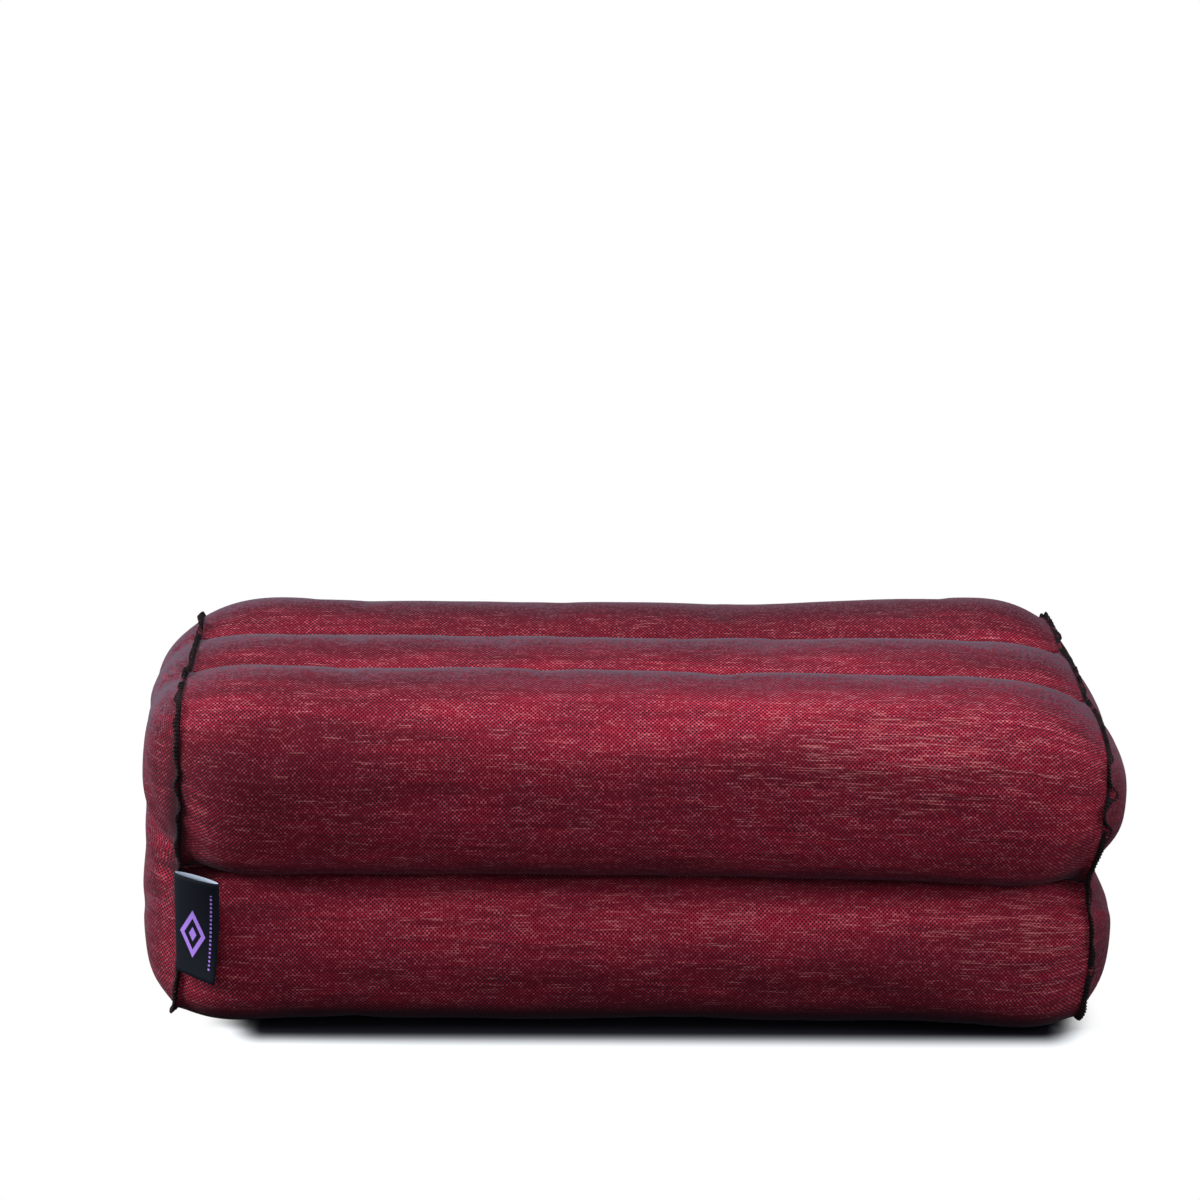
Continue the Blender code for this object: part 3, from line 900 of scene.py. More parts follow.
@dataclass(frozen=True)
class RawCloth(Finish):
    """Unbleached cotton of the inner walls, with seed flecks, and a dark red painted shade on its
    edges where they show in the seams.
    """

    roughness: float = 0.95
    bump: float = 0.4
    bump_depth: float = 0.0002
    colour: Triple = (0.62, 0.56, 0.46)
    shade: Triple = (0.48, 0.42, 0.33)
    shade_share: float = 0.25
    weave_scale: float = 900.0
    weave_wobble: float = 1.5
    seed: Triple = (0.26, 0.18, 0.10)
    seed_scale: float = 420
    seed_edge: Pair = (0.74, 0.80)
    # Painted shade: the dark red laid on the wall's edges where they show in the seam gaps.
    seam_gap_shade: Triple = (0.040, 0.006, 0.010)
    shade_past: float = 0.066
    shade_above: float = 0.108
    shade_below: float = 0.018

    def draw(self, graph: Graph) -> tuple[Socket, Socket]:
        """Adds the cloth's nodes.

        Args:
            graph: the tree.

        Returns:
            The colour, and the height that the bumps follow.
        """
        body = graph.body()
        inputs = {"Vector": body, "Scale": self.weave_scale, "Distortion": self.weave_wobble}
        weave = graph.add("TexWave", inputs).outputs["Fac"]
        raw = graph.blend(graph.times(weave, self.shade_share), self.colour, self.shade)
        flecks = graph.span(graph.noise(body, (self.seed_scale,) * 3, 1.0), *self.seed_edge)
        _, y, z = graph.parts(body)
        # Painted shade: the wall's edges that show in the seams take the dark red.
        edges = (
            graph.math("GREATER_THAN", graph.size(y), self.shade_past),
            graph.math("GREATER_THAN", z, self.shade_above),
            graph.math("LESS_THAN", z, self.shade_below),
        )
        shaded_edges = graph.math("MAXIMUM", graph.math("MAXIMUM", *edges[:2]), edges[2])
        return graph.blend(shaded_edges, graph.blend(flecks, raw, self.seed), self.seam_gap_shade), weave


@dataclass(frozen=True)
class KapokFloss(Finish):
    """Silky cream floss, clumped and glossy on its fibres."""

    sheen: float = 0.5
    bump: float = 0.8
    bump_depth: float = 0.001
    colour: Triple = (0.78, 0.70, 0.52)
    shade: Triple = (0.55, 0.45, 0.29)
    clump_scale: float = 90
    clump_edge: Pair = (0.3, 0.7)
    fibre_scale: Triple = (500, 1800, 1800)
    fibre_height: float = 0.3

    def draw(self, graph: Graph) -> tuple[Socket, Socket]:
        """Adds the floss's nodes.

        Args:
            graph: the tree.

        Returns:
            The colour, and the height that the bumps follow.
        """
        body = graph.body()
        clumps = graph.noise(body, (self.clump_scale,) * 3, 4.0)
        fibres = graph.noise(body, self.fibre_scale, 2.0)
        colour = graph.blend(graph.span(clumps, *self.clump_edge), self.shade, self.colour)
        return colour, graph.math("MULTIPLY_ADD", fibres, self.fibre_height, clumps)


@dataclass(frozen=True)
class Ribbon(Finish):
    """Dense woven ribbon with a plain lozenge motif and a border of small squares."""

    specular: float = 0.08
    bump: float = 0.35
    bump_depth: float = 0.00008
    ground: Triple = (0.0015, 0.0030, 0.0070)
    motif: Triple = (0.430, 0.235, 0.860)
    rib_light: Triple = (0.008, 0.010, 0.015)
    rib_share: float = 0.25
    rib: float = 0.00032
    rib_breadth: float = 1.6
    lozenge_centre: Pair = (0.0078, 0.0170)
    lozenge_radii: Pair = (0.0056, 0.0094)
    frame_from: float = 0.66
    core: float = 0.30
    border_at: float = 0.0156
    border_half: float = 0.00042
    border_pitch: float = 0.0016
    border_ends: Pair = (0.004, 0.034)

    def draw(self, graph: Graph) -> tuple[Socket, Socket]:
        """Adds the ribbon's nodes.

        Args:
            graph: the tree.

        Returns:
            The colour, and the height that the bumps follow.
        """
        u, v, _ = graph.parts(graph.cloth_map())
        ribs = graph.math("SINE", graph.times(v, 2 * math.pi / self.rib))
        cross = graph.math("SINE", graph.times(u, 2 * math.pi / (self.rib * self.rib_breadth)))
        height = graph.times(ribs, cross)
        colour = graph.blend(self._motif(graph, u, v), self.ground, self.motif)
        tone = graph.span(height, -1.0, 1.0, 0.0, self.rib_share)
        return graph.blend(tone, colour, self.rib_light), height

    def _motif(self, graph: Graph, u: Socket, v: Socket) -> Socket:
        """Where the motif's yarn shows: a lozenge frame with a core, and a row of squares.

        Args:
            graph: the tree to add to.
            u: the place across the ribbon.
            v: the place up the ribbon.

        Returns:
            The socket of a value that is 1 where the yarn shows.
        """
        away = [
            graph.size(graph.math("DIVIDE", graph.less(value, centre), radius))
            for value, centre, radius in zip((u, v), self.lozenge_centre, self.lozenge_radii)
        ]
        far = graph.math("ADD", *away)
        ring = self._between(graph, far, self.frame_from, 1.0)
        core = graph.math("LESS_THAN", far, self.core)
        off = graph.size(graph.less(u, self.border_at))
        beat = graph.math("FRACT", graph.math("DIVIDE", v, self.border_pitch))
        squares = graph.times(
            graph.math("LESS_THAN", off, self.border_half), graph.math("LESS_THAN", beat, 0.5)
        )
        squares = graph.times(squares, self._between(graph, v, *self.border_ends))
        return graph.math("MAXIMUM", graph.math("MAXIMUM", ring, core), squares)

    def _between(self, graph: Graph, value: Socket, low: float, high: float) -> Socket:
        """1 where a value lies between two others, and 0 elsewhere."""
        above = graph.math("GREATER_THAN", value, low)
        return graph.times(above, graph.math("LESS_THAN", value, high))


@dataclass(frozen=True)
class RibbonReverse(Finish):
    """The ribbon's pale back, with the carried yarns as faint lines."""

    bump: float = 0.3
    colour: Triple = (0.34, 0.40, 0.50)
    line: Triple = (0.22, 0.26, 0.34)
    line_share: float = 0.3
    line_scale: float = 700.0

    def draw(self, graph: Graph) -> tuple[Socket, Socket]:
        """Adds the ribbon's nodes.

        Args:
            graph: the tree.

        Returns:
            The colour, and the height that the bumps follow.
        """
        inputs = {"Vector": graph.cloth_map(), "Scale": self.line_scale}
        lines = graph.add("TexWave", inputs, bands_direction="Y").outputs["Fac"]
        return graph.blend(graph.times(lines, self.line_share), self.colour, self.line), lines


def activate(item: Item) -> None:
    """Deselects everything, then selects an object and makes it the active one.

    Args:
        item: the object.
    """
    bpy.ops.object.select_all(action="DESELECT")
    item.select_set(True)
    bpy.context.view_layer.objects.active = item


def linked(name: str, data: bpy.types.ID) -> Item:
    """Puts a new object in the scene.

    Args:
        name: the object's name.
        data: its mesh, curve, light or camera.

    Returns:
        The object.
    """
    item = bpy.data.objects.new(name, data)
    bpy.context.scene.collection.objects.link(item)
    return item


def coordinates(item: Item) -> np.ndarray:
    """Reads where a mesh's points are.

    Args:
        item: the mesh object.

    Returns:
        The points as rows of x, y, z.
    """
    points = np.empty(len(item.data.vertices) * 3)
    item.data.vertices.foreach_get("co", points)
    return points.reshape(-1, 3)


def place_points(item: Item, points: np.ndarray) -> None:
    """Moves a mesh's points to the given rows of x, y, z."""
    item.data.vertices.foreach_set("co", np.ascontiguousarray(points, np.float32).ravel())
    item.data.update()


def apply_modifier(item: Item, kind: str, **settings: object) -> None:
    """Adds a modifier with the given settings and applies it.

    Args:
        item: the object.
        kind: the modifier's type.
        settings: the modifier's own settings.
    """
    activate(item)
    modifier = item.modifiers.new(kind.title(), kind)
    set_all(modifier, settings)
    bpy.ops.object.modifier_apply(modifier=modifier.name)


def flat_grid(name: str, columns: int, rows: int) -> tuple[Item, list[tuple[int, int]]]:
    """A grid primitive.

    Args:
        name: the grid's name.
        columns: the number of cells along it.
        rows: the number of cells across it.

    Returns:
        The grid's object, and the column and row of each of its points.
    """
    bpy.ops.object.select_all(action="DESELECT")
    bpy.ops.mesh.primitive_grid_add(x_subdivisions=columns, y_subdivisions=rows, size=2)
    item = bpy.context.object
    item.name = item.data.name = name
    shares = (coordinates(item)[:, :2] + 1) / 2
    return item, [(round(x * columns), round(y * rows)) for x, y in shares]


def woven_grid(name: str, columns: int, rows: int, place: Callable[[int, int], Vector],
               cloth: Callable[[int, int], Pair], keep: Callable[[int, int], bool],
               stitched: Callable[[int, int], bool], flip: bool) -> Item:
    """A sheet of cloth from a grid primitive, with a map of its threads and its stitched points.

    Args:
        name: the sheet's name.
        columns: the number of cells along it.
        rows: the number of cells across it.
        place: gives the point of a column and row.
        cloth: gives that point's place on the flat cloth, in metres.
        keep: says whether the cell that starts at a column and row stays.
        stitched: says whether a seam holds that point.
        flip: turns the faces to the other side.

    Returns:
        The sheet's object.
    """
    item, spots = flat_grid(name, columns, rows)
    sheet = bmesh.new()
    sheet.from_mesh(item.data)
    threads = sheet.loops.layers.uv.verify()
    weights = sheet.verts.layers.deform.verify()
    index = dict(zip(sheet.verts, spots))
    cells = {face: [index[vertex] for vertex in face.verts] for face in sheet.faces}
    gone = [face for face, ends in cells.items() if not keep(*map(min, zip(*ends)))]
    for vertex, spot in index.items():
        vertex.co = place(*spot)
        vertex[weights][0] = float(stitched(*spot))
        for loop in vertex.link_loops:
            loop[threads].uv = cloth(*spot)
    bmesh.ops.delete(sheet, geom=gone, context="FACES")
    if flip:
        bmesh.ops.reverse_faces(sheet, faces=sheet.faces)
    sheet.to_mesh(item.data)
    sheet.free()
    item.vertex_groups.new(name=Skin.STITCHED)
    item.data.uv_layers[0].name = CLOTH_MAP
    return item


def enter(item: Item, body: str, node: str, slot: Slot, finish: Finish | None = None) -> None:
    """Gives a finished piece its places in the frame, and reports it.

    Args:
        item: the piece.
        body: the body that it rides on.
        node: the solid that it stands for.
        slot: its material slot in the record; not used.
        finish: its finish, where it doesn't have it yet.
    """
    if finish:
        item.data.materials.append(finish.material())
    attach(item, body)
    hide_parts(node)
    LOG.info("%s: %d faces for %s", item.name, len(item.data.polygons), node)


@dataclass(frozen=True)
class Fold:
    """A soft crease or ridge of the cover, from a seam towards a point where it fades out."""

    start: Triple
    finish: Triple
    depth: float
    width: float
    face_on: bool = False

    def push(self, points: np.ndarray) -> np.ndarray:
        """How far the fold moves each point out of the cloth.

        Args:
            points: the points, of which a fold that is seen face on counts no x.

        Returns:
            A distance for each point.
        """
        counted = np.array((0.0, 1.0, 1.0) if self.face_on else (1.0, 1.0, 1.0))
        points, start = points * counted, np.array(self.start) * counted
        line = np.array(self.finish) * counted - start
        share = np.clip((points - start) @ line / (line @ line), 0.0, 1.0)
        away = np.linalg.norm(points - start - share[:, None] * line, axis=1)
        return self.depth * np.exp(-((away / self.width) ** 2)) * (1 - share**2)


@dataclass
class Skin:
    """The cushion's outer cloth: six strips and two end panels, blown up against their seams."""

    STITCHED = "stitched"
    COTTON = {
        "quality": 5, "mass": 0.3, "tension_stiffness": 20.0, "compression_stiffness": 20.0,
        "shear_stiffness": 8.0, "bending_stiffness": 0.8, "air_damping": 2.0,
    }

    form: Form
    cell: float = 0.0045
    support: float = 0.0015
    allowance: float = 0.006
    cloth: float = 0.0004
    ply_gap: float = 0.0001
    panel_cells: int = 32
    fin_rings: int = 2
    bulge: dict = field(default_factory=lambda: {End.LEFT: 0.0178, End.RIGHT: 0.0130})
    crease: dict = field(default_factory=lambda: {End.LEFT: 0.0012, End.RIGHT: 0.0080})
    bulge_power: float = 8.0
    bulge_start: float = 1.3
    crease_width: float = 0.012
    pressure: float = 4.0
    slack: float = -0.003
    frames: int = 20
    strip_cap: float = 0.0012
    panel_cap: float = 0.0020
    overhang: float = 0.0025
    lump: float = 0.0009
    lump_wave: float = 0.055
    fine_lump: float = 0.25
    fine_rate: float = 2.7
    fill: float = 0.8
    folds: tuple[Fold, ...] = (
        Fold((-0.169, -0.086, 0.066), (-0.130, -0.096, 0.078), -0.0010, 0.0040),
        Fold((-0.169, -0.086, 0.052), (-0.135, -0.098, 0.044), -0.0008, 0.0040),
        Fold((0.174, -0.092, 0.066), (0.135, -0.100, 0.080), -0.0009, 0.0045),
        Fold((0.174, -0.092, 0.052), (0.140, -0.102, 0.044), -0.0008, 0.0040),
    )
    panel_folds: dict = field(default_factory=lambda: {
        End.LEFT: (
            Fold((0.0, -0.087, 0.060), (0.0, -0.006, 0.102), -0.0056, 0.0060, face_on=True),
            Fold((0.0, -0.086, 0.066), (0.0, -0.056, 0.106), -0.0016, 0.0035, face_on=True),
            Fold((0.0, -0.086, 0.054), (0.0, -0.040, 0.030), -0.0016, 0.0040, face_on=True),
            Fold((0.0, -0.020, 0.112), (0.0, 0.060, 0.108), 0.0030, 0.0120, face_on=True),
        ),
        End.RIGHT: (
            Fold((0.0, -0.090, 0.062), (0.0, -0.050, 0.080), -0.0018, 0.0040, face_on=True),
            Fold((0.0, -0.090, 0.055), (0.0, -0.056, 0.036), -0.0014, 0.0040, face_on=True),
        ),
    })
    strips: dict = field(default_factory=dict)
    panels: dict = field(default_factory=dict)

    @property
    def ply(self) -> float:
        """How far a ply's outer face is from the middle of the fin."""
        return self.cloth + self.ply_gap / 2

    def stations(self) -> list[float]:
        """Spaces out the columns of a strip.

        Returns:
            The x of each column, from the left end seam to the right one.
        """
        half = self.form.half_length
        reach = 2 * (half - self.support)
        count = round(reach / self.cell)
        inner = [-half + self.support + reach * k / count for k in range(count + 1)]
        return [-half, *inner, half]

    def strip(self, chamber: Chamber) -> Item:
        """The outer cloth of a chamber, with flanges at its long seams and fins at its ends.

        Args:
            chamber: the chamber that the strip covers.

        Returns:
            The strip's sheet, in the even cushion.
        """
        form, xs, rings = self.form, self.stations(), self.fin_rings
        columns, rows = len(xs) - 1 + 2 * rings, chamber.rows + 2
        shares = [k / chamber.rows for k in range(chamber.rows + 1)]
        marks = running_length([form.arc_point(chamber, share, 1.0) for share in shares])

        def x_at(i: int) -> float:
            """Column i's place between the end seams."""
            return xs[min(max(i - rings, 0), len(xs) - 1)]

        def beyond(i: int) -> int:
            """How many columns past an end seam column i is."""
            return max(rings - i, i - (columns - rings))

        def place(i: int, j: int) -> Vector:
            """Lays out one point of the sheet.

            Args:
                i: its column.
                j: its row.

            Returns:
                The point in the even cushion.
            """
            x, swell = x_at(i), form.swell_at(x_at(i))
            if j in (0, rows):
                seam, side = (chamber.start, 1) if j == 0 else (chamber.finish, -1)
                point = form.seam_at(seam, swell, side)
                return Vector((x, *moved(point, seam.outward, -self.allowance)))
            if beyond(i) < 0:
                return Vector((x, *form.arc_point(chamber, shares[j - 1], swell)))
            spot = form.arc_point(chamber, shares[j - 1], 0.0)
            end = End.LEFT if i <= rings else End.RIGHT
            return form.seam_point(*spot, end, self.ply, form.fin_height * beyond(i) / rings)

        def cloth(i: int, j: int) -> Pair:
            """That point's place on the flat cloth."""
            past = max(beyond(i), 0) / rings * form.fin_height
            return (x_at(i) + math.copysign(past, x_at(i)), marks[min(max(j - 1, 0), chamber.rows)])

        def keep(i: int, j: int) -> bool:
            """Whether the cell stays: the flanges stop at the end seams."""
            return 0 < j < rows - 1 or rings + 1 <= i < columns - rings - 1

        def stitched(i: int, j: int) -> bool:
            """Whether a seam holds the point."""
            return j <= 1 or j >= rows - 1 or beyond(i) >= 0

        name = f"cover_cloth_{chamber.name}"
        return woven_grid(name, columns, rows, place, cloth, keep, stitched, flip=True)

    def panel(self, end: End) -> Item:
        """The cloth that closes an end, with its rim turned out as a fin.

        Args:
            end: the end that it closes.

        Returns:
            The panel's sheet, in the even cushion.
        """
        form, rings = self.form, self.fin_rings
        count = self.panel_cells + 2 * rings
        half = count // 2
        inner = half - rings

        def ring_at(i: int, j: int) -> int:
            """How many rings column i and row j are from the middle."""
            return max(abs(i - half), abs(j - half))

        def outline(i: int, j: int) -> Pair:
            """Aims from the panel's middle through a point of its grid.

            Args:
                i: the point's column.
                j: its row.

            Returns:
                The end outline's point in that direction, as (y, z).
            """
            a, b = (i - half) / half, (j - half) / half
            reach = form.end_top - form.level if b > 0 else form.level - form.end_bottom
            rise = (form.level - form.centre_height) * (ring_at(i, j) / half) + b * reach
            return form.end_outline(math.atan2(rise, a * form.half_depth))

        def place(i: int, j: int) -> Vector:
            """Lays out one point of the sheet.

            Args:
                i: its column.
                j: its row.

            Returns:
                The point in the even cushion.
            """
            (y, z), ring = outline(i, j), ring_at(i, j)
            if ring >= inner:
                return form.seam_point(y, z, end, -self.ply, form.fin_height * (ring - inner) / rings)
            spread = ring / inner
            height = form.level + (z - form.level) * spread
            x = end.value * (form.half_length + self._bulge_at(height, spread, end))
            return Vector((x, y * spread, height))

        def cloth(i: int, j: int) -> Pair:
            """That point's place on the flat cloth."""
            (y, z), ring = outline(i, j), ring_at(i, j)
            return (y * ring / inner + end.value, form.level + (z - form.level) * ring / inner)

        def stitched(i: int, j: int) -> bool:
            """Whether a seam holds the point, or the level wall behind it does."""
            return ring_at(i, j) >= inner or j == half

        name, flip = f"cover_cloth_end_{end.word}", end is End.LEFT
        return woven_grid(name, count, count, place, cloth, lambda i, j: True, stitched, flip)

    def _bulge_at(self, z: float, spread: float, end: End) -> float:
        """How far an end panel stands out past its seam.

        Args:
            z: the height there.
            spread: 0 at the panel's centre and 1 at its rim.
            end: the panel's end.

        Returns:
            The distance.
        """
        crease = self.crease[end] * math.exp(-(((z - self.form.level) / self.crease_width) ** 2))
        full = self.bulge[end] * (1 - spread**self.bulge_power) ** self.bulge_start
        return full - crease * (1 - spread**4)

    def build(self) -> None:
        """Makes, inflates and finishes every sheet of the skin."""
        self.strips = {chamber: self.strip(chamber) for chamber in self.form.chambers()}
        self.panels = {end: self.panel(end) for end in End}
        for sheet in self.strips.values():
            self._inflate(sheet, self.strip_cap)
        for sheet in self.panels.values():
            self._inflate(sheet, self.panel_cap)
        for chamber, sheet in self.strips.items():
            self._keep_to_chamber(sheet, chamber)
            self._finish(sheet, self.folds)
        for end, sheet in self.panels.items():
            self._finish(sheet, self.panel_folds[end])

    def _inflate(self, sheet: Item, cap: float) -> None:
        """Blows a sheet up with its seams held.

        Args:
            sheet: the sheet, which keeps its place at its stitched points.
            cap: the farthest that any point may move.
        """
        activate(sheet)
        before = coordinates(sheet)
        modifier = sheet.modifiers.new("Cloth", "CLOTH")
        settings = modifier.settings
        set_all(settings, self.COTTON)
        settings.vertex_group_mass = self.STITCHED
        settings.use_pressure = True
        settings.uniform_pressure_force = self.pressure
        settings.effector_weights.gravity = 0.0
        settings.shrink_min = self.slack
        modifier.collision_settings.use_collision = False
        modifier.point_cache.frame_start = 1
        modifier.point_cache.frame_end = self.frames
        for number in range(1, self.frames + 1):
            bpy.context.scene.frame_set(number)
        bpy.ops.object.modifier_apply(modifier=modifier.name)
        bpy.context.scene.frame_set(1)
        shift = coordinates(sheet) - before
        length = np.linalg.norm(shift, axis=1, keepdims=True)
        eased = cap * np.tanh(length / cap)
        place_points(sheet, before + shift * eased / np.maximum(length, 1e-9))
        LOG.info("%s moved %.1f mm at most", sheet.name, length.max() * 1000)

    def _keep_to_chamber(self, sheet: Item, chamber: Chamber) -> None:
        """Stops a strip at the floor and at the planes where its chamber presses on the next.

        Args:
            sheet: the strip's sheet.
            chamber: the chamber that it covers.
        """
        points, level, gap = coordinates(sheet), self.form.level, self.form.seam_half
        inner = np.abs(points[:, 0]) < self.form.half_length - self.support
        low = level + gap - self.overhang if chamber.is_upper else 0.0
        high = None if chamber.is_upper else level - gap
        points[inner, 2] = np.clip(points[inner, 2], low, high)
        if chamber.is_middle:
            wall = self.form.wall - gap
            points[inner, 1] = np.clip(points[inner, 1], -wall, wall)
        place_points(sheet, points)

    def _finish(self, sheet: Item, folds: Sequence[Fold]) -> None:
        """Settles a sheet, rounds it, gives it its lumps and folds, and then its thickness.

        Args:
            sheet: the sheet, in the even cushion.
            folds: the folds that cross it.
        """
        points = [self.form.settled(point) for point in coordinates(sheet)]
        place_points(sheet, np.array(points))
        apply_modifier(sheet, "SUBSURF", levels=1, render_levels=1)
        self._lump(sheet, folds)
        apply_modifier(sheet, "SOLIDIFY", thickness=self.cloth, offset=-1.0, use_even_offset=True,
                       thickness_clamp=0.0)
        sheet.data.shade_smooth()

    def _lump(self, sheet: Item, folds: Sequence[Fold]) -> None:
        """Moves a sheet's free points in and out: clumps of filling, and folds from the seams.

        Args:
            sheet: the settled sheet.
            folds: the folds that cross it.
        """
        points = coordinates(sheet)
        normals = np.empty(len(points) * 3)
        sheet.data.vertex_normals.foreach_get("vector", normals)
        held = sheet.vertex_groups[self.STITCHED].index
        push, free = np.zeros(len(points)), np.zeros(len(points))
        for k, vertex in enumerate(sheet.data.vertices):
            free[k] = 1 - next((g.weight for g in vertex.groups if g.group == held), 0.0)
            spot = Vector(points[k])
            rough = noise.noise(spot / self.lump_wave)
            rough += self.fine_lump * noise.noise(spot * self.fine_rate / self.lump_wave)
            push[k] = free[k] * self.lump * rough
        for fold in folds:
            push += free * fold.push(points)
        points += normals.reshape(-1, 3) * push[:, None]
        points[:, 2] = np.maximum(points[:, 2], 0.0)
        place_points(sheet, points)

    def dress(self) -> None:
        """Gives the skin its finish and its places in the frame."""
        nodes = {f"cover_{chamber.name}": sheet for chamber, sheet in self.strips.items()}
        nodes |= {f"end_panel_{end.word}": sheet for end, sheet in self.panels.items()}
        for node, sheet in nodes.items():
            enter(sheet, CUSHION, node, Slot.COVER, ShotCloth("shot_cotton_burgundy"))


def tube(name: str, path: Sequence[Vector], radius: float) -> Item:
    """A closed loop of thread.

    Args:
        name: the thread's name.
        path: the points down its middle.
        radius: half its thickness.

    Returns:
        The thread as a mesh object.
    """
    curve = bpy.data.curves.new(name, "CURVE")
    curve.dimensions = "3D"
    curve.bevel_depth = radius
    curve.bevel_resolution = 1
    spline = curve.splines.new("POLY")
    spline.points.add(len(path) - 1)
    spline.points.foreach_set("co", [n for point in path for n in (*point, 1.0)])
    spline.use_cyclic_u = True
    activate(linked(name, curve))
    bpy.ops.object.convert(target="MESH")
    item = bpy.context.object
    item.data.shade_smooth()
    return item


def joined(name: str, parts: Sequence[Item]) -> Item:
    """Joins objects into one.

    Args:
        name: the joined object's name.
        parts: the objects.

    Returns:
        The joined object.
    """
    activate(parts[0])
    for part in parts[1:]:
        part.select_set(True)
    bpy.ops.object.join()
    item = bpy.context.object
    item.name = item.data.name = name
    return item


@dataclass
class Overlock:
    """The thread sewn over the raw edges of one end's fin."""

    form: Form
    end: End
    pitch: float = 0.0014
    thread: float = 0.00022
    needle_thread: float = 0.000176
    sheath: float = 0.0003
    sheath_side: tuple[Pair, ...] = ((0.00062, 0.0002), (0.00062, 0.0013), (0.000434, 0.0018))
    sheath_top: float = 0.0019
    wrap_side: tuple[Pair, ...] = ((0.00072, 0.0002), (0.00072, 0.00115), (0.000576, 0.0019))
    wrap_top: float = 0.0021
    wrap_under: Pair = (0.0, 0.0004)
    needle_turn: tuple[Triple, ...] = (
        (0.0, 0.00042, 0.0002), (0.25, 0.00082, 0.0002), (0.75, 0.00082, 0.0002),
    )
    piece: Item | None = None

    def build(self) -> None:
        """Makes the covering of thread: a close sheath with wraps of thread over it."""
        ring = self.form.end_ring(self.pitch)
        over = [*self._arch(self.wrap_side, self.wrap_top), self.wrap_under]
        turn = [(k / len(over), across, up) for k, (across, up) in enumerate(over)]
        parts = [
            self._sheath(ring),
            self._stitches("wraps", ring, turn, self.thread),
            self._stitches("needle_line", ring, self.needle_turn, self.needle_thread),
        ]
        self.piece = joined(f"overlock_stitching_{self.end.word}", parts)

    def _at(self, spot: Pair, across: float, up: float) -> Vector:
        """A point of the fin's cross-section, in the settled cushion."""
        return self.form.settled(self.form.seam_point(*spot, self.end, across, up))

    def _arch(self, side: Sequence[Pair], top: float) -> list[Pair]:
        """A cross-section from one side's points: that side, the top and the other side."""
        return [*side, (0.0, top), *((-across, up) for across, up in reversed(side))]

    def _sheath(self, ring: Sequence[Pair]) -> Item:
        """The close layer of thread round the fin, as a rounded channel.

        Args:
            ring: the end outline's points, one for each stitch.

        Returns:
            The sheath's object.
        """
        section = self._arch(self.sheath_side, self.sheath_top)
        item, spots = flat_grid("sheath", len(ring), len(section) - 1)
        points = [self._at(ring[i % len(ring)], *section[j]) for i, j in spots]
        place_points(item, np.array(points))
        bpy.ops.object.mode_set(mode="EDIT")
        bpy.ops.mesh.select_all(action="SELECT")
        bpy.ops.mesh.remove_doubles(threshold=1e-6)
        bpy.ops.mesh.normals_make_consistent(inside=False)
        bpy.ops.object.mode_set(mode="OBJECT")
        apply_modifier(item, "SOLIDIFY", thickness=self.sheath, offset=-1.0)
        item.data.shade_smooth()
        return item

    def _stitches(self, name: str, ring: Sequence[Pair], turn: Sequence[Triple],
                  radius: float) -> Item:
        """A thread that makes the same turn at each stitch.

        Args:
            name: the thread's name.
            ring: the end outline's points, one for each stitch.
            turn: the points of a turn: the share of a stitch onward, across the fin and up it.
            radius: half the thread's thickness.

        Returns:
            The thread's object.
        """
        path = []
        for here, onward in zip(ring, [*ring[1:], ring[0]]):
            path += [self._at(mix(here, onward, share), across, up) for share, across, up in turn]
        return tube(name, path, radius)

    def dress(self) -> None:
        """Gives the thread its finish and its place in the frame."""
        thread = Thread("overlock_thread_black")
        enter(self.piece, CUSHION, f"overlock_{self.end.word}", Slot.OVERLOCK, thread)


@dataclass
class ValleyStitches:
    """The row of stitches at the bottom of one lengthwise valley."""

    form: Form
    seam: Seam
    pitch: float = 0.0030
    length: float = 0.0029
    radius: float = 0.00045
    lift: float = 0.0007
    short: float = 0.0005
    colour: Triple = (0.11, 0.010, 0.020)
    fleck: Triple = (0.25, 0.04, 0.06)
    piece: Item | None = None

    def build(self) -> None:
        """Models one stitch and lays copies of it along the seam."""
        form, seam = self.form, self.seam
        reach = form.half_length - self.short
        count = round(2 * reach / self.pitch)
        bpy.ops.object.select_all(action="DESELECT")
        bpy.ops.mesh.primitive_uv_sphere_add(segments=6, ring_count=4, radius=1.0)
        stitch = bpy.context.object
        shape = coordinates(stitch)[:, [2, 0, 1]] * (self.length / 2, self.radius, self.radius)
        parts = []
        for k in range(count):
            x = -reach + 2 * reach * (k + 0.5) / count
            spot = moved(form.seam_at(seam, form.swell_at(x)), seam.outward, self.lift)
            parts.append(linked("stitch", stitch.data.copy()))
            place_points(parts[-1], shape + np.array(form.settled((x, *spot))))
        bpy.data.objects.remove(stitch)
        self.piece = joined(f"valley_stitching_{seam.name}", parts)
        self.piece.data.shade_smooth()

    def dress(self) -> None:
        """Gives the stitches their finish and their place in the frame."""
        thread = Thread("seam_thread_red", colour=self.colour, fleck=self.fleck)
        enter(self.piece, CUSHION, f"seam_thread_{self.seam.name}", Slot.SEAM, thread)


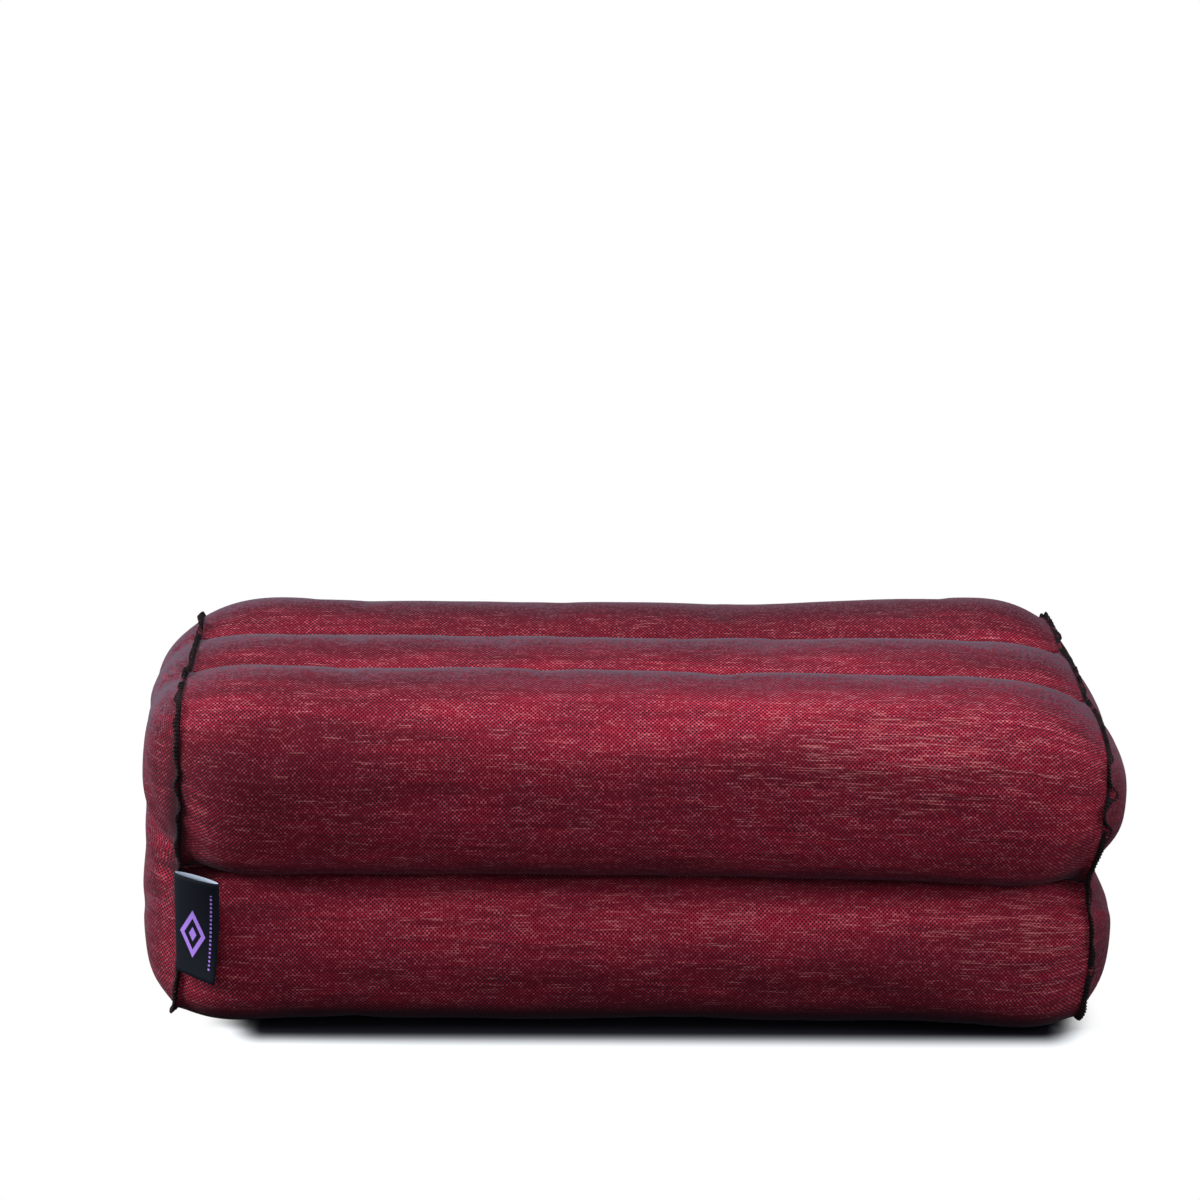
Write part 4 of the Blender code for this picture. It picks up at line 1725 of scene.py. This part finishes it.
@dataclass
class SideLabel:
    """The folded ribbon caught in the front left seam beside the lower chamber."""

    form: Form
    width: float = 0.0187
    height: float = 0.039
    fold: float = 0.001
    bottom: float = 0.0225
    root: Pair = (-0.1722, -0.0922)
    turn_top: float = 21.0
    turn_bottom: float = 36.0
    droop: float = 0.14
    opening_top: float = 0.0026
    opening_bottom: float = 0.0008
    ribbon: float = 0.0004
    gap: float = 0.0003
    columns: int = 48
    rows: int = 24
    piece: Item | None = None

    def _reach(self, share: float) -> float:
        """How far from the seam the ribbon is, at share of its way round."""
        return self.width * (1 - math.cos(2 * math.pi * share)) / 2

    def _point(self, share: float, rise: float) -> Vector:
        """A point of the ribbon.

        Args:
            share: how far round the ribbon it is, out along one half and back along the other.
            rise: how far up the ribbon it is, from 0 to 1.

        Returns:
            The point.
        """
        turn, reach = 2 * math.pi * share, self._reach(share)
        opening = self.opening_bottom + (self.opening_top - self.opening_bottom) * rise
        start = (self.ribbon + self.gap) / 2
        spread = start * math.cos(turn / 2) + opening * math.sin(turn)
        height = self.bottom + self.height * rise - self.droop * reach
        aim = math.radians(self.turn_top + (self.turn_bottom - self.turn_top) * (1 - rise) ** 2)
        x = self.root[0] + reach * math.cos(aim)
        return Vector((x, self.root[1] + spread - reach * math.sin(aim), height))

    def build(self) -> None:
        """Makes the ribbon from a grid, with its map, its two faces and its thickness."""
        columns, rows = self.columns, self.rows
        self.piece = woven_grid(
            "side_label_ribbon", columns, rows,
            place=lambda i, j: self._point(i / columns, j / rows),
            cloth=lambda i, j: (self._reach(i / columns), self.height * j / rows),
            keep=lambda i, j: True,
            stitched=lambda i, j: False,
            flip=True,
        )
        self.piece.vertex_groups.clear()
        for finish in (Ribbon("label_ribbon_woven"), RibbonReverse("label_ribbon_reverse")):
            self.piece.data.materials.append(finish.material())
        apply_modifier(self.piece, "SOLIDIFY", thickness=self.ribbon, offset=0.0,
                       use_even_offset=True, material_offset=1, material_offset_rim=0)
        self.piece.data.shade_smooth()

    def dress(self) -> None:
        """Gives the label its place in the frame and reports it."""
        enter(self.piece, LABEL, "side_label", Slot.RIBBON)


class Filling:
    """The kapok and the inner walls, which stay as their solids inside the cover."""

    def dress(self) -> None:
        """Gives the hidden solids their finishes."""
        for name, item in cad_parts.items():
            if name.startswith("kapok_"):
                finish, slot = KapokFloss("kapok_floss"), Slot.KAPOK
            elif name.startswith("inner_wall_"):
                finish, slot = RawCloth("raw_cotton_wall"), Slot.WALL
            else:
                continue
            item.data.materials.clear()
            item.data.materials.append(finish.material())
            LOG.info("%s: %s", name, finish.name)


@dataclass(frozen=True)
class Lamp:
    """A rectangular soft light aimed at the cushion."""

    name: str
    place: Triple
    size: Pair
    power: float
    target: Triple = (0.0, 0.0, 0.06)

    def build(self) -> None:
        """Adds the light to the scene."""
        light = bpy.data.lights.new(self.name, "AREA")
        light.shape = "RECTANGLE"
        light.size, light.size_y = self.size
        light.energy = self.power
        item = linked(self.name, light)
        item.location = self.place
        aim = Vector(self.target) - Vector(self.place)
        item.rotation_euler = aim.to_track_quat("-Z", "Y").to_euler()


@dataclass
class Studio:
    """The pale floor, the soft light and the camera."""

    lamps: tuple[Lamp, ...] = (
        Lamp("key_above", (0.12, -0.15, 1.50), (1.3, 0.8), 23.0),
        Lamp("fill_front", (0.20, -1.25, 0.55), (0.7, 0.5), 2.2),
        Lamp("fill_right", (1.10, -0.40, 0.50), (0.5, 0.5), 6.5),
        Lamp("fill_left", (-1.20, -0.02, 0.45), (0.5, 0.5), 22.0),
    )
    ambient: float = 0.20
    ambient_colour: Triple = (0.93, 0.96, 1.0)
    white: Triple = (1.0, 1.0, 1.0)
    floor_size: float = 12.0
    floor_colour: Triple = (0.93, 0.97, 1.0)
    # Painted shadow: the floor's colour right at the cushion's foot.
    painted_contact_shadow: Triple = (0.010, 0.010, 0.014)
    floor_bounce: Triple = (0.14, 0.145, 0.16)
    shadow_half: Pair = (0.148, 0.0965)
    shadow_centre: float = 0.010
    side_pace: float = 1.3
    shadow_soft: Pair = (0.003, 0.026)
    shadow_end: Pair = (0.009, 0.034)
    lens: float = 110.9
    sensor: float = 36.0
    distance: float = 1.475
    elevation: float = 13.43
    yaw: float = 0.41
    target: Triple = (-0.011, 0.0, 0.146)

    def build(self) -> None:
        """Adds the lamps, the world, the floor and the camera."""
        for lamp in self.lamps:
            lamp.build()
        self._world()
        self._floor()
        self._camera()
        bpy.context.scene.view_settings.view_transform = "Standard"

    def _world(self) -> None:
        """A world that looks white and lights the object with an even, softer level."""
        world = bpy.data.worlds.new("studio")
        bpy.context.scene.world = world
        graph = Graph(world)
        path = graph.add("LightPath").outputs
        seen = graph.math("MAXIMUM", path["Is Camera Ray"], path["Is Glossy Ray"])
        seen = graph.math("MAXIMUM", seen, path["Is Transmission Ray"])
        soft = graph.add("Background", {"Color": self.ambient_colour, "Strength": self.ambient})
        white = graph.add("Background", {"Color": self.white, "Strength": 1.0})
        both = graph.add("MixShader", {0: seen, 1: soft.outputs[0], 2: white.outputs[0]})
        graph.surface(both, "OutputWorld")

    def _floor(self) -> None:
        """A plain pale floor that keeps the cushion's shadow, with a painted contact shadow near the
        foot and plain white farther off.
        """
        bpy.ops.object.select_all(action="DESELECT")
        bpy.ops.mesh.primitive_plane_add(size=self.floor_size, location=(0.0, 0.0, 0.0))
        floor = bpy.context.object
        floor.name = floor.data.name = "studio_floor"
        material = bpy.data.materials.new("pale_floor")
        graph = Graph(material)
        seen = graph.add("LightPath").outputs["Is Camera Ray"]
        bounce = graph.add("BsdfDiffuse", {"Color": self.floor_bounce})
        far = self._distance(graph)
        # Painted contact shadow: the floor darkens towards the cushion's foot, over the real shadow.
        colour = graph.blend(graph.span(far, *self.shadow_soft), self.painted_contact_shadow, self.floor_colour)
        shaded = graph.add("BsdfDiffuse", {"Color": colour})
        white = graph.add("Emission", {"Color": self.white, "Strength": 1.0})
        away = graph.span(far, *self.shadow_end)
        shown = graph.add("MixShader", {0: away, 1: shaded.outputs[0], 2: white.outputs[0]})
        graph.surface(graph.add("MixShader", {0: seen, 1: bounce.outputs[0], 2: shown.outputs[0]}))
        floor.data.materials.append(material)

    def _distance(self, graph: Graph) -> Socket:
        """How far a place of the floor is from the cushion's foot, with a shorter fade at its ends.

        Args:
            graph: the tree to add to.

        Returns:
            The distance's socket.
        """
        x, y, _ = graph.parts(graph.body())
        along = graph.less(graph.size(graph.less(x, self.shadow_centre)), self.shadow_half[0])
        along = graph.times(along, self.side_pace)
        across = graph.less(graph.size(y), self.shadow_half[1])
        beyond = [graph.math("MAXIMUM", value, 0.0) for value in (along, across)]
        return graph.length(graph.vector(*beyond))

    def _camera(self) -> None:
        """The camera at the photograph's angle."""
        data = bpy.data.cameras.new("camera")
        data.lens, data.sensor_width = self.lens, self.sensor
        camera = linked("camera", data)
        tilt, turn = math.radians(self.elevation), math.radians(self.yaw)
        level = math.cos(tilt)
        back = Vector((math.sin(turn) * level, -math.cos(turn) * level, math.sin(tilt)))
        camera.location = Vector(self.target) + back * self.distance
        camera.rotation_euler = (-back).to_track_quat("-Z", "Y").to_euler()
        bpy.context.scene.camera = camera


def main() -> None:
    """Builds and dresses the cushion in order."""
    logging.basicConfig(level=logging.INFO, format="%(message)s")
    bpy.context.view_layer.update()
    form = Form()
    parts = [Skin(form)]
    parts += [Overlock(form, end) for end in End]
    parts += [ValleyStitches(form, seam) for seam in form.seams()]
    parts.append(SideLabel(form))
    for part in parts:
        part.build()
        part.dress()
    Filling().dress()
    Studio().build()


if __name__ == "__main__":
    main()
